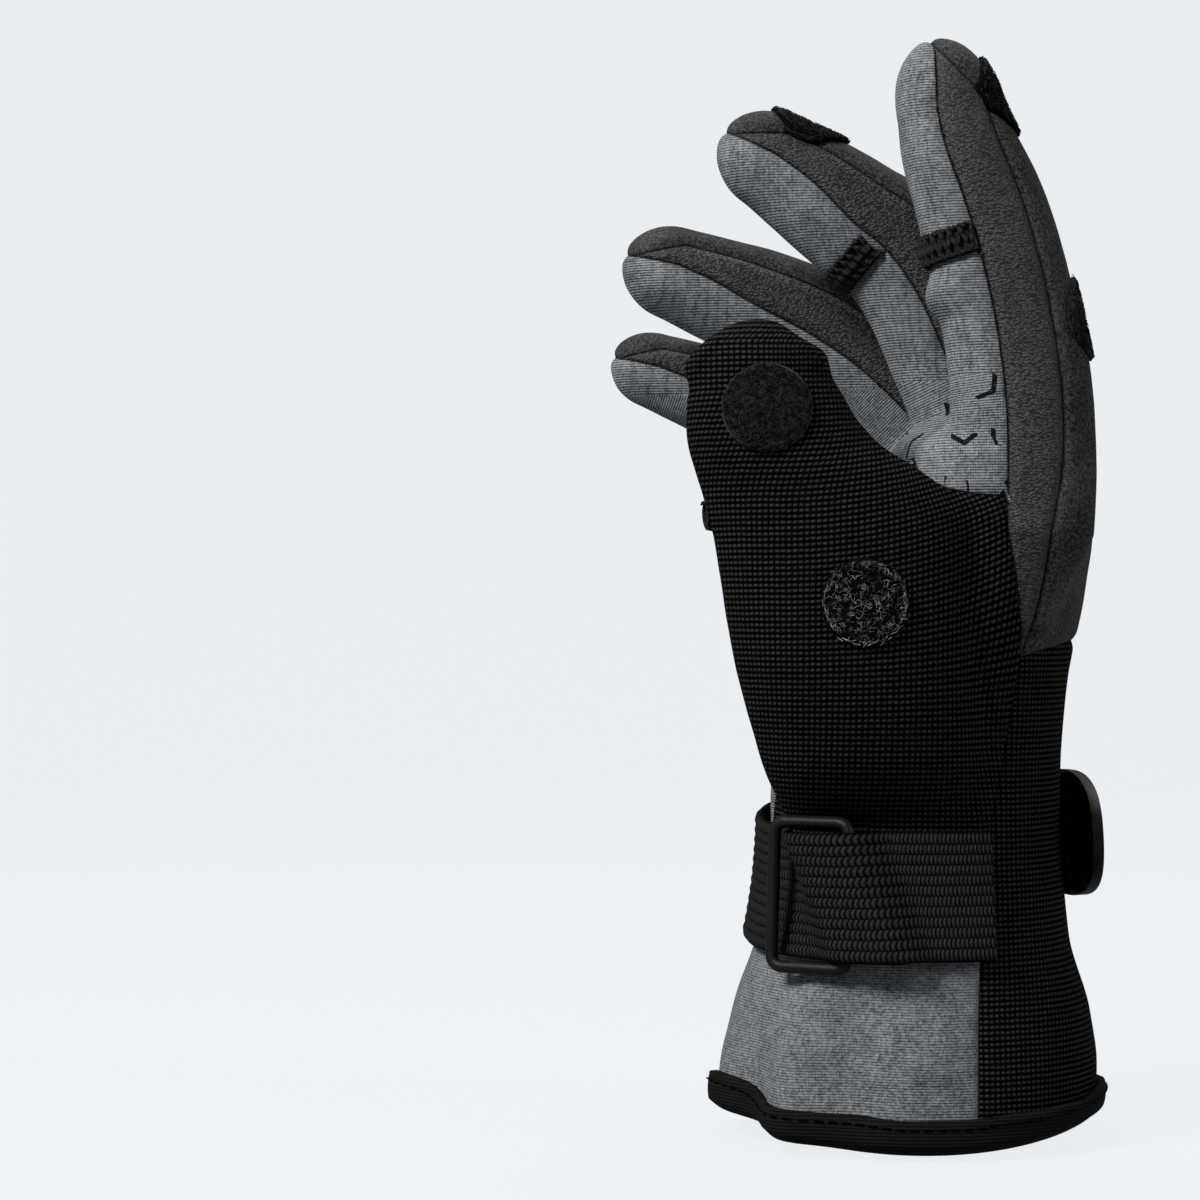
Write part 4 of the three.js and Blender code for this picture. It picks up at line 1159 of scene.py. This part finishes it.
# ---------------------------------------------------------------------------
# Side strips of the fingers
# Soft charcoal imitation leather with a pebbled grain, in a narrow pointed strip up each side of
# each finger, sewn between the grey front and the black back.
grain, entry, leave = new_group(
    "pebbled grain",
    [("Vector", "NodeSocketVector", None), ("Size", "NodeSocketFloat", 1.0)],
    [("Height", "NodeSocketFloat")],
)
bend = noise_node(grain, entry["Vector"], 700, output="Color")
bend = vector_node(grain, "SUBTRACT", bend, (0.5, 0.5, 0.5))
bend = vector_node(grain, "MULTIPLY", bend, (0.0007, 0.0007, 0.0007))
warped = vector_node(grain, "ADD", entry["Vector"], bend)
warped = vector_node(grain, "MULTIPLY", warped, (0.7, 0.7, 1.25))
pebbles = grain.nodes.new("ShaderNodeTexVoronoi")
pebbles.feature = "SMOOTH_F1"
pebbles.inputs["Smoothness"].default_value = 0.35
link(grain, warped, pebbles.inputs["Vector"])
link(grain, over(grain, 1000.0, entry["Size"]), pebbles.inputs["Scale"])
crown = minus(grain, 1.0, ramp(grain, pebbles.outputs["Distance"], 0.0, 0.85))
link(grain, crown, leave["Height"])

leather, tree, shader = new_material("charcoal pebbled leather", 0.55, sheen=0.0, specular=0.25)
place = object_node(tree)
pebble = place_group(tree, grain, Vector=place, Size=0.52)
shade = noise_node(tree, place, 90, 3, 0.6)
tone = times(tree, pebble["Height"], plus(tree, shade, 0.5))
colour = mix_colour(tree, tone, (0.016, 0.016, 0.016), (0.082, 0.082, 0.083))
colour = mix_colour(tree, times(tree, seam_line(tree), 0.5), colour, (0.004, 0.004, 0.004))
fine = noise_node(tree, place, 2600, 2, 0.5)
height = plus(tree, pebble["Height"], times(tree, fine, 0.25))
dress_shader(tree, shader, colour, height, 0.2)
for finger in fingers:
    for side in ("thumb_side", "little_side"):
        cloth_panel(f"strip_{finger['name']}_{side}", leather)

# ---------------------------------------------------------------------------
# Back of the hand
# One piece of matt black stretch fabric with a very fine, slightly fuzzy face, from the knuckles
# over the backs of all four fingers.
back_cloth, tree, shader = new_material("black stretch back", 0.85, sheen=0.03, specular=0.12)
place = object_node(tree)
fuzz = noise_node(tree, place, 1900, 3, 0.7)
patches = noise_node(tree, place, 70, 3, 0.55)
tone = plus(tree, times(tree, fuzz, 0.8), times(tree, patches, 0.2))
tone = ramp(tree, tone, 0.36, 0.7)
colour = mix_colour(tree, tone, (0.006, 0.006, 0.006), (0.095, 0.095, 0.097))
colour = mix_colour(tree, times(tree, seam_line(tree), 0.6), colour, (0.002, 0.002, 0.002))
dress_shader(tree, shader, colour, fuzz, 0.2)
cloth_panel("hand_back", back_cloth)

# ---------------------------------------------------------------------------
# Hook-and-loop dots
# Round black dots sewn flat on the cloth: loop pile on the thumb tip and the two knuckles, and
# hooks on the finger tips and the ball of the thumb. The hooks on the ball are a lighter wiry
# thread. Where a tip is folded back, its dot is pressed on the other kind.
dot_diameter, dot_thickness = 17.6, 0.8


def mapped_grid(count_u, count_v, place_of, weld=0.0):
    """A grid whose points are put where place_of says, for u and v from 0 to 1."""
    bm = bmesh.new()
    made = bmesh.ops.create_grid(bm, x_segments=count_u, y_segments=count_v, size=0.5)
    verts = made["verts"]
    u = np.array([v.co.x + 0.5 for v in verts])
    v = np.array([v.co.y + 0.5 for v in verts])
    for vertex, point in zip(verts, place_of(u, v)):
        vertex.co = Vector(point) * MM
    if weld:
        bmesh.ops.remove_doubles(bm, verts=bm.verts, dist=weld * MM)
    uv_layer = bm.loops.layers.uv.new("weave")
    bmesh.ops.recalc_face_normals(bm, faces=bm.faces)
    for face in bm.faces:
        face.smooth = True
    return bm, uv_layer


def face_towards(bm, outward):
    """Turns a sheet over if it faces away from a direction."""
    if sum(f.normal.dot(outward) for f in bm.faces) < 0:
        bmesh.ops.reverse_faces(bm, faces=bm.faces)


pile_material = speckled_material(
    "black pile",
    0.95,
    (900, 3, 0.7),
    (0.001, 0.001, 0.001),
    (0.024, 0.024, 0.025),
    0.5,
    patchy=True,
    sheen=0.08,
    specular=0.08,
)
ground_material, tree, shader = new_material("black hook ground", 0.9, sheen=0.0, specular=0.05)
shader.inputs["Base Color"].default_value = (0.002, 0.002, 0.002, 1)
hook_material, tree, shader = new_material("dark wiry thread", 0.5, sheen=0.0, specular=0.3)
place = object_node(tree)
tuft = noise_node(tree, place, 500, 2, 0.6)
link(
    tree,
    mix_colour(tree, ramp(tree, tuft, 0.35, 0.7), (0.004, 0.004, 0.004), (0.26, 0.26, 0.265)),
    shader.inputs["Base Color"],
)


def arch_mesh(name, width, height, thread, steps=4):
    """One loop of thread: a thin arch with three sides."""
    bm = bmesh.new()
    points = []
    for k in range(steps + 1):
        angle = math.pi * k / steps
        points.append(Vector((-width / 2 * math.cos(angle), 0, height * math.sin(angle) ** 0.7)))
    rings = []
    for k, p in enumerate(points):
        ahead = points[min(k + 1, steps)] - points[max(k - 1, 0)]
        frame_of = ahead.to_track_quat("Z", "Y").to_matrix()
        rings.append(
            [
                p + frame_of @ Vector((thread / 2 * math.cos(a), thread / 2 * math.sin(a), 0))
                for a in (0, 2.094, 4.189)
            ]
        )
    loft(bm, rings)
    bmesh.ops.recalc_face_normals(bm, faces=bm.faces)
    for f in bm.faces:
        f.smooth = True
    mesh = bpy.data.meshes.new(name)
    bm.to_mesh(mesh)
    bm.free()
    return mesh


def scatter(bm, template, matrices):
    """Adds a copy of the template mesh at each matrix."""
    for matrix in matrices:
        template.transform(matrix)
        bm.from_mesh(template)
        template.transform(matrix.inverted())


def basis(place_at, normal, spin):
    rotation = normal.to_track_quat("Z", "Y").to_matrix() @ Matrix.Rotation(spin, 3, "Z")
    return Matrix.Translation(place_at) @ rotation.to_4x4()


def lay_on(point, along, across, normal, turn=0.0):
    """Puts a template at a point, its axes as given and then turned about the normal."""
    axes = Matrix((along, across, normal)).transposed().to_4x4()
    return Matrix.Translation(point * MM) @ Matrix.Rotation(turn, 4, normal) @ axes


def cloth_at(start, direction, missed):
    """Where a line from a point meets the cloth, and the cloth's normal there."""
    hit, normal, _, _ = body_surface.ray_cast(start * MM, direction)
    return (hit / MM, normal) if hit else (missed, direction)


def dot_piece(node, centre, axis, kind, seed):
    centre, axis = Vector(centre), Vector(axis).normalized()
    side = axis.orthogonal().normalized()
    other = axis.cross(side)

    def on_cloth(px, py):
        return cloth_at(centre + side * px + other * py, axis, centre)

    def place_of(u, v):
        a, b = 2 * u - 1, 2 * v - 1
        x = a * np.sqrt(1 - b * b / 2) * dot_diameter / 2
        y = b * np.sqrt(1 - a * a / 2) * dot_diameter / 2
        points = []
        for px, py in zip(x, y):
            hit, normal = on_cloth(px, py)
            rim = min(1, (dot_diameter / 2 - math.hypot(px, py)) / 1.0)
            points.append(
                hit + normal * (0.15 + dot_thickness * (0.45 + 0.55 * max(rim, 0) ** 0.5))
            )
        return points

    bm, _ = mapped_grid(22, 22, place_of)
    face_towards(bm, axis)
    bm = solid_sheet(f"{node}_base", bm, dot_thickness)
    rng = np.random.default_rng(seed)
    is_loop = kind == "loop"
    template = arch_mesh(
        "loop", 0.9 if is_loop else 1.25, 0.5 if is_loop else 0.4, 0.14 if is_loop else 0.11
    )
    template.polygons.foreach_set("material_index", [1] * len(template.polygons))
    places = []
    for _ in range(620):
        radius = (dot_diameter / 2 - 0.7) * math.sqrt(rng.random())
        turn_to = rng.random() * 2 * math.pi
        hit, normal = on_cloth(radius * math.cos(turn_to), radius * math.sin(turn_to))
        lean = Vector(rng.normal(0, 0.35, 3))
        up = (normal + lean).normalized()
        places.append(basis((hit + normal * (dot_thickness * 0.95)) * MM, up, rng.random() * 6.28))
    scatter(bm, template, places)
    bpy.data.meshes.remove(template)
    rim = arch_mesh("rim thread", 1.5, 0.35, 0.22)
    rim.polygons.foreach_set("material_index", [1] * len(rim.polygons))
    places = []
    for k in range(72):
        turn_to = 2 * math.pi * k / 72 + rng.normal(0, 0.02)
        radius = dot_diameter / 2 - 0.7 + rng.normal(0, 0.25)
        hit, normal = on_cloth(radius * math.cos(turn_to), radius * math.sin(turn_to))
        round_rim = (
            other * math.cos(turn_to + rng.normal(0, 0.5)) - side * math.sin(turn_to)
        ).normalized()
        round_rim = (round_rim - normal * round_rim.dot(normal)).normalized()
        point = hit + normal * (dot_thickness * 0.8)
        places.append(lay_on(point, round_rim, normal.cross(round_rim), normal))
    scatter(bm, rim, places)
    bpy.data.meshes.remove(rim)
    obj = new_object(f"{node}_tape", bm)
    for material in {
        "loop": (pile_material, pile_material), "hook": (ground_material, hook_material)
    }.get(kind, (ground_material, pile_material)):
        obj.data.materials.append(material)
    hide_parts(node)
    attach(obj, "root")


for finger, place_name, t, kind, seed in (
    (index, "tip", 1.0, "dark hook", 1),
    (index, "knuckle", 0.41, "loop", 2),
    (middle, "tip", 0.946, "dark hook", 3),
    (middle, "knuckle", 0.45, "loop", 4),
):
    centre, _, back, _ = finger_station(finger, t)
    dot_piece(f"dot_{finger['name']}_{place_name}", centre, back, kind, seed)
for node, share_x, rise, share_y, kind, seed in (
    ("dot_thumb_tip", -0.6, 0.925, -1.17, "loop", 5),
    ("dot_thumb_ball", -0.24, 0.52, -1.05, "hook", 6),
):
    centre = (share_x * thumb_width, share_y * thumb_thickness, thumb_foot + rise * thumb_height)
    dot_piece(node, centre, (0, -1, 0), kind, seed)

# ---------------------------------------------------------------------------
# Overlocked edges of the slits
# The raw edge of each fold-back tip is overlocked: close loops of thick black thread lie side by
# side over a narrow band of cloth.
trim_width, stitch_pitch, thread_width = 5.6, 1.05, 1.2
tape_thickness = 0.7
thread_material = speckled_material(
    "black overlock thread",
    0.8,
    (1600, 2, 0.6),
    (0.002, 0.002, 0.002),
    (0.03, 0.03, 0.031),
    0.25,
    sheen=0.02,
    specular=0.12,
)


def overlock(node, line_at, length, seed):
    """Stitches over a band: line_at gives point, normal and direction across it for a share."""
    def tape(u, v):
        points = []
        for share, side in zip(u, v):
            point, normal, across = line_at(share)
            points.append(point + across * (side - 0.5) * trim_width + normal * 0.5)
        return points

    bm, _ = mapped_grid(24, 4, tape)
    face_towards(bm, line_at(0.5)[1])
    bm = solid_sheet(f"{node}_tape", bm, tape_thickness)
    rng = np.random.default_rng(seed)
    cross = arch_mesh("cross thread", trim_width, 1.0, thread_width, 8)
    purl = arch_mesh("edge thread", 1.9, 0.75, 0.7, 5)
    count = max(6, int(length / stitch_pitch))
    crosses, purls = [], []
    for k in range(count):
        share = (k + 0.5 + rng.normal(0, 0.07)) / count
        point, normal, across = line_at(share)
        along = across.cross(normal).normalized()
        across = normal.cross(along).normalized()
        tilt = math.radians((19 if k % 2 else -15) + rng.normal(0, 4))
        crosses.append(lay_on(point, across, along, normal, tilt))
        for end in (-0.46, 0.46):
            edge_point = point + across * end * trim_width + normal * 0.15
            tilt = math.radians(70 + rng.normal(0, 10))
            purls.append(lay_on(edge_point, across, along, normal, tilt))
    scatter(bm, cross, crosses)
    scatter(bm, purl, purls)
    for template in (cross, purl):
        bpy.data.meshes.remove(template)
    obj = new_object(f"{node}_stitches", bm)
    obj.data.materials.append(thread_material)
    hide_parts(node)
    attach(obj, "root")


for finger, (centre, along, back, half) in slits:
    centre, along, back = Vector(centre), Vector(along), Vector(back)

    def finger_line(share, centre=centre, along=along, back=back):
        angle = math.radians(-68 + 136 * share)
        out = -back * math.cos(angle) + Vector((0, 1, 0)) * math.sin(angle)
        point, normal = cloth_at(centre + along * (trim_width / 2), out, centre + out * 12)
        return point - out * 0.05, normal, along

    overlock(f"slit_trim_{finger['name']}", finger_line, math.radians(136) * half, 11)


def thumb_line(share):
    centre = Vector(
        (-0.56 * thumb_width, -1.14 * thumb_thickness, thumb_slit + slit_width + trim_width / 2)
    )
    angle = math.radians(8 + 118 * (1 - share))
    out = Vector((-math.cos(angle), math.sin(angle), 0))
    return *cloth_at(centre, out, centre + out * 12), Vector((0, 0, 1))


overlock("slit_trim_thumb", thumb_line, 30.0, 13)

# ---------------------------------------------------------------------------
# Hem binding
# A strip of black stretch tape folded round the raw edge of the cuff and sewn through with one
# row of stitches near its upper edge.
binding_height, binding_thickness = 5.8, 1.7
binding_material, tree, shader = new_material(
    "black stretch binding", 0.85, sheen=0.0, specular=0.06
)
uv = uv_node(tree)
place = object_node(tree)
weave = place_group(tree, knit, Vector=uv, Row=0.7, Column=0.55, Waviness=0.2, Column_Depth=0.8)
dust = noise_node(tree, place, 1500, 3, 0.6)
tone = times(tree, weave["Height"], plus(tree, dust, 0.4))
colour = mix_colour(tree, tone, (0.001, 0.001, 0.001), (0.015, 0.015, 0.0155))
dress_shader(tree, shader, colour, weave["Height"], 0.2)
hem_radius = 43.0
hem_profile = [
    (0.1 + binding_thickness, binding_height),
    (0.3 + binding_thickness, binding_height * 0.72),
    (0.3 + binding_thickness, binding_height * 0.4),
    (0.1 + binding_thickness, 0.5),
    (0.1, -0.9),
    (-0.9, -1.45),
    (-2.0, -0.9),
    (-wall - 1.1, 0.6),
    (-wall - 1.3, binding_height * 0.5),
    (-wall - 0.9, binding_height),
    (-wall - 0.1, binding_height + 0.1),
    (-wall - 0.15, 0.4),
    (0.1, 0.4),
    (0.1, binding_height + 0.1),
]


def hem_place(bearing, off, height):
    """A point of the binding, which is taken up higher on the palm side."""
    slack = 1 + 0.55 * np.exp(-(((bearing - 164) / 20) ** 2))
    rise = np.maximum(height, 0) * slack / hand_height
    p = hand_point(rise, bearing, off)
    wobble = 0.35 * np.sin(np.radians(bearing * 7)) + 0.25 * np.sin(np.radians(bearing * 17 + 40))
    p[..., 2] += np.minimum(height, 0) + wobble * 0.4 * (height > 4)
    return p


profile = np.array(hem_profile + hem_profile[:1])
profile_run = np.concatenate([[0], np.cumsum(np.linalg.norm(np.diff(profile, axis=0), axis=1))])


def hem_surface(u, v):
    off = np.interp(v * profile_run[-1], profile_run, profile[:, 0])
    height = np.interp(v * profile_run[-1], profile_run, profile[:, 1])
    return hem_place(u * 360, off, height)


bm, uv_layer = mapped_grid(300, 42, hem_surface, weld=0.01)
for face in bm.faces:
    for corner in face.loops:
        p = corner.vert.co / MM
        corner[uv_layer].uv = (hem_radius / uv_unit * math.atan2(p.y, p.x), p.z / uv_unit)
stitch = arch_mesh("hem stitch", 2.1, 0.35, 0.42, 4)
places = []
stitch_count = 96
for k in range(stitch_count):
    bearing = 360 * k / stitch_count
    p, ahead, up = (
        Vector(hem_place(np.array(at), 0.25 + binding_thickness, binding_height - down))
        for at, down in ((bearing, 1.5), (bearing + 1, 1.5), (bearing, 0))
    )
    ahead = (ahead - p).normalized()
    normal = ahead.cross(up - p).normalized()
    if normal.dot(Vector((p.x, p.y, 0))) < 0:
        normal = -normal
    places.append(lay_on(p, ahead, normal.cross(ahead), normal))
scatter(bm, stitch, places)
bpy.data.meshes.remove(stitch)
hem = new_object("hem_binding_tape", bm)
hem.data.materials.append(binding_material)
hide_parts("hem_binding")
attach(hem, "root")

# ---------------------------------------------------------------------------
# Wrist strap
# Dark ribbed elastic, 25 mm wide, with twelve round ribs. It is sewn into the wrist seam, passes
# over one bar of the ring and under the other, and goes round the palm side to the back.
strap_width, strap_thickness, strap_ribs = 25.4, 1.8, 12
strap_seat = 0.4
rib_depth = 0.85
braid_pitch = 0.82
strap_height, strap_climb = 50.8, 10.2
strap_start, strap_end = 68.0, 352.0
lay_gap = 0.3
ring_bar, ring_window, ring_play, ring_bearing = 2.6, 11.0, 0.8, 128.0
ring_lean, ring_tilt, ring_seat = 21.0, 10.0, 1.0
mm_per_degree = math.radians(1) * (wrist_depth + wrist_breadth) / 4
half_ring = (ring_window + ring_bar) / 2 / mm_per_degree
ring_half_up = strap_width / 2 + ring_play + ring_bar / 2


def lean_of(height):
    return math.tan(math.radians(ring_lean)) * height / mm_per_degree


def tilt_of(height):
    return math.tan(math.radians(ring_tilt)) * (height + ring_half_up)


def wrist_height(bearing):
    """The level of the strap's middle, which climbs from the ring to the back."""
    return strap_height + strap_climb * smoothstep(bearing, ring_bearing, strap_end)


def strap_lift(bearing, height):
    """How far the strap stands off the cloth: it passes over the inner bar of the ring."""
    away = (bearing - (ring_bearing - half_ring) - lean_of(height)) / (1.2 * half_ring)
    raised = ring_seat + ring_bar + 3 * lay_gap + tilt_of(height)
    return lay_gap + strap_seat + raised * np.exp(-(away**4))


def strap_surface(u, v):
    bearing = strap_start + u * (strap_end - strap_start)
    height = (v - 0.5) * strap_width
    rib = np.abs(np.sin(v * math.pi * strap_ribs)) ** 0.7
    edge_soft = np.minimum(1, np.minimum(v, 1 - v) * 40)
    off = strap_lift(bearing, height) + strap_thickness - rib_depth + rib_depth * rib * edge_soft
    return hand_point((wrist_height(bearing) + height) / hand_height, bearing, off)


strap_material, tree, shader = new_material(
    "charcoal ribbed elastic", 0.8, sheen=0.0, specular=0.05
)
uv = uv_node(tree)
axes = split_axes(tree, uv)
braid_at = times(tree, axes["X"], uv_unit / braid_pitch)
rib_at = times(tree, axes["Y"], float(strap_ribs))
half_turn = times(tree, math_node(tree, "FLOOR", rib_at), 0.5)
slant = times(tree, absolute(tree, minus(tree, math_node(tree, "FRACT", rib_at), 0.5)), 1.1)
braid = math_node(tree, "FRACT", plus(tree, plus(tree, braid_at, half_turn), slant))
braid = ridges(tree, braid)
ply = noise_node(tree, object_node(tree), 1700, 2, 0.6)
# Painted light and shade: the round ribs are coloured lighter on their tops and nearly black in the
# grooves between them.
painted_rib_light = ridges(tree, rib_at)
yarn = plus(tree, times(tree, braid, 0.75), times(tree, ply, 0.7))
tone = times(tree, ramp(tree, painted_rib_light, 0.35, 1.0), ramp(tree, yarn, 0.45, 1.2))
colour = mix_colour(tree, tone, (0.0003, 0.0003, 0.0003), (0.03, 0.03, 0.031))
dress_shader(tree, shader, colour, braid, 0.2)

bm, uv_layer = mapped_grid(340, strap_ribs * 6, strap_surface)
bm.verts.ensure_lookup_table()
# A flat twin of the grid says where each corner lies along and across the strap
mapped = bmesh.new()
bmesh.ops.create_grid(mapped, x_segments=340, y_segments=strap_ribs * 6, size=0.5)
strap_run = (strap_end - strap_start) * mm_per_degree
for face, flat in zip(bm.faces, mapped.faces):
    for corner, flat_corner in zip(face.loops, flat.loops):
        corner[uv_layer].uv = (
            (flat_corner.vert.co.x + 0.5) * strap_run / uv_unit, flat_corner.vert.co.y + 0.5
        )
mapped.free()
strap_obj = new_object("wrist_strap_elastic", bm)
strap_obj.data.materials.append(strap_material)
thicken(strap_obj, strap_thickness - rib_depth - 0.05)
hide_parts("wrist_strap")
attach(strap_obj, "root")

# ---------------------------------------------------------------------------
# Strap tab
# A thin moulded black tab with a round end, sewn over the end of the strap. It is what the
# fingers grip, and its free end stands off the back of the wrist.
tab_length, tab_width, tab_thickness, tab_lap, tab_lift = 23.0, 27.0, 2.2, 5.0, 5.0


def tab_surface(u, v):
    bearing = strap_end + (u * tab_length - tab_lap) / mm_per_degree
    round_off = np.sqrt(np.maximum(1 - np.maximum(0, (u - 0.1) / 0.91) ** 2, 0.0004))
    height = (v - 0.5) * tab_width * round_off
    bowed = 1 - 0.4 * (2 * height / tab_width) ** 2
    lift = 2 * lay_gap + strap_seat + strap_thickness + tab_lift * u**1.3 * bowed
    return hand_point(
        (wrist_height(strap_end) + height) / hand_height, bearing, lift + tab_thickness
    )


plastic_material = speckled_material(
    "matt black moulding",
    0.5,
    (1400, 2, 0.5),
    (0.003, 0.003, 0.003),
    (0.009, 0.009, 0.0095),
    0.06,
    specular=0.2,
)
bm, _ = mapped_grid(40, 28, tab_surface)
face_towards(bm, Vector((1, 0, 0)))
tab = new_object("strap_tab_moulding", bm)
tab.data.materials.append(plastic_material)
thicken(tab, tab_thickness)
soft_edge = tab.modifiers.new("soft edge", "BEVEL")
soft_edge.width = 0.6 * MM
soft_edge.segments = 3
soft_edge.angle_limit = math.radians(50)
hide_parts("strap_tab")
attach(tab, "root")

# ---------------------------------------------------------------------------
# Wrist ring
# A rounded rectangle of round black bar. The strap runs over its inner bar and under its outer
# one, and its upper end stands a little off the wrist.
def ring_corner(side, off, height):
    return hand_point(
        (wrist_height(ring_bearing) + height) / hand_height,
        ring_bearing + side * half_ring + lean_of(height),
        off + ring_seat + ring_bar / 2 + tilt_of(height),
    )


inner_off, outer_off = lay_gap, 2 * lay_gap + strap_seat + strap_thickness
inner_top, inner_foot, outer_top, outer_foot = (
    ring_corner(side, off, height)
    for side, off in ((-1, inner_off), (1, outer_off))
    for height in (ring_half_up, -ring_half_up)
)
ring_centre = (inner_top + inner_foot + outer_top + outer_foot) / 4
across = (outer_top + outer_foot - inner_top - inner_foot) / 2
half_across = np.linalg.norm(across) / 2
across /= np.linalg.norm(across)
up = (inner_top + outer_top - inner_foot - outer_foot) / 2
up -= across * (up @ across)
up /= np.linalg.norm(up)
ring_normal = np.cross(across, up)
ring_bend = 0.9 * ring_bar


def ring_surface(u, v):
    """The bar round the ring: straight runs and quarter turns, one after the other."""
    straight_x, straight_y = 2 * (half_across - ring_bend), 2 * (ring_half_up - ring_bend)
    arc = ring_bend * math.pi / 2
    stops = np.cumsum([0, straight_y, arc, straight_x, arc, straight_y, arc, straight_x, arc])
    way = (u % 1.0) * stops[-1]
    x, y, nx, ny = (np.zeros(len(u)) for _ in range(4))
    corners = [(1, 1, 0), (-1, 1, 90), (-1, -1, 180), (1, -1, 270)]
    for k in range(8):
        here = (way >= stops[k]) & (way <= stops[k + 1])
        part = (way[here] - stops[k]) / (stops[k + 1] - stops[k])
        if k % 2 == 0:
            _, _, degrees = corners[k // 2]
            cx0, cy0, _ = corners[(k // 2 + 3) % 4]
            cx1, cy1, _ = corners[k // 2]
            a = math.radians(degrees)
            sx = cx0 + (cx1 - cx0) * part
            sy = cy0 + (cy1 - cy0) * part
            angle = np.full(here.sum(), a)
        else:
            sx = np.full(here.sum(), float(corners[k // 2][0]))
            sy = np.full(here.sum(), float(corners[k // 2][1]))
            angle = np.radians(corners[k // 2][2]) + part * math.pi / 2
        x[here] = sx * (half_across - ring_bend) + ring_bend * np.cos(angle)
        y[here] = sy * (ring_half_up - ring_bend) + ring_bend * np.sin(angle)
        nx[here], ny[here] = np.cos(angle), np.sin(angle)
    round_turn = 2 * math.pi * v
    out = np.cos(round_turn) * ring_bar / 2
    lift = np.sin(round_turn) * ring_bar / 2
    px, py = x + nx * out, y + ny * out
    return ring_centre + across * px[:, None] + up * py[:, None] + ring_normal * lift[:, None]


bm, _ = mapped_grid(160, 16, ring_surface, weld=0.02)
ring_obj = new_object("wrist_ring_bar", bm)
ring_obj.data.materials.append(plastic_material)
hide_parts("wrist_ring")
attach(ring_obj, "root")

# ---------------------------------------------------------------------------
# Floor, backdrop and light
# A pale sheet runs under the glove and sweeps up behind it, evenly lit, so that no horizon shows.
# It lights the glove less than it shows, so the lamps shape the folds.
# One large soft light stands to the front left and two weaker ones lift the right side and the top.
backdrop_colour = (0.845, 0.885, 0.925)


def sweep_surface(u, v):
    """A flat floor, a quarter bend and an upright sheet."""
    run = v * 7000
    bend, flat = 900.0, 4200.0
    turn = np.clip((run - flat) / bend, 0, math.pi / 2)
    y = -3000 + np.minimum(run, flat) + bend * np.sin(turn)
    z = bend * (1 - np.cos(turn)) + np.maximum(0, run - flat - bend * math.pi / 2) - 1.0
    return np.stack([(u - 0.5) * 9000, y, z], axis=-1)


def strength_seen(tree, extra, lighting):
    """A strength that lights the glove, and more where the camera looks at it."""
    seen = tree.nodes.new("ShaderNodeLightPath")
    return plus(tree, times(tree, seen.outputs["Is Camera Ray"], extra), lighting)


bm, _ = mapped_grid(2, 60, sweep_surface)
face_towards(bm, Vector((0, 0, 1)))
sweep = new_object("sweep", bm)
sweep_material = bpy.data.materials.new("pale sweep")
sweep_material.use_nodes = True
tree = sweep_material.node_tree
tree.nodes.remove(tree.nodes["Principled BSDF"])
matt = tree.nodes.new("ShaderNodeBsdfDiffuse")
matt.inputs["Color"].default_value = (0.8, 0.84, 0.88, 1)
even = tree.nodes.new("ShaderNodeEmission")
even.inputs["Color"].default_value = (*backdrop_colour, 1)
link(tree, strength_seen(tree, 0.78, 0.22), even.inputs["Strength"])
blend = tree.nodes.new("ShaderNodeMixShader")
blend.inputs["Fac"].default_value = 0.94
link(tree, matt.outputs[0], blend.inputs[1])
link(tree, even.outputs[0], blend.inputs[2])
link(tree, blend.outputs[0], tree.nodes["Material Output"].inputs["Surface"])
sweep.data.materials.append(sweep_material)

world = bpy.data.worlds.new("studio")
world.use_nodes = True
tree = world.node_tree
soft = tree.nodes["Background"]
soft.inputs["Color"].default_value = (*backdrop_colour, 1)
link(tree, strength_seen(tree, 0.9, 0.11), soft.inputs["Strength"])
bpy.context.scene.world = world
bpy.context.scene.view_settings.view_transform = "Standard"


def soft_light(name, place_at, look_at, size, power):
    data = bpy.data.lights.new(name, "AREA")
    data.size = size
    data.energy = power
    lamp = bpy.data.objects.new(name, data)
    lamp.location = place_at
    lamp.rotation_euler = (Vector(look_at) - Vector(place_at)).to_track_quat("-Z", "Y").to_euler()
    bpy.context.scene.collection.objects.link(lamp)


soft_light("key", (-0.95, -0.75, 1.1), (0, 0, 0.12), 0.4, 26)
soft_light("right", (1.2, -0.6, 0.7), (0, 0, 0.12), 0.6, 5)
soft_light("top", (0.1, 0.5, 1.1), (0, 0, 0.12), 0.5, 5)
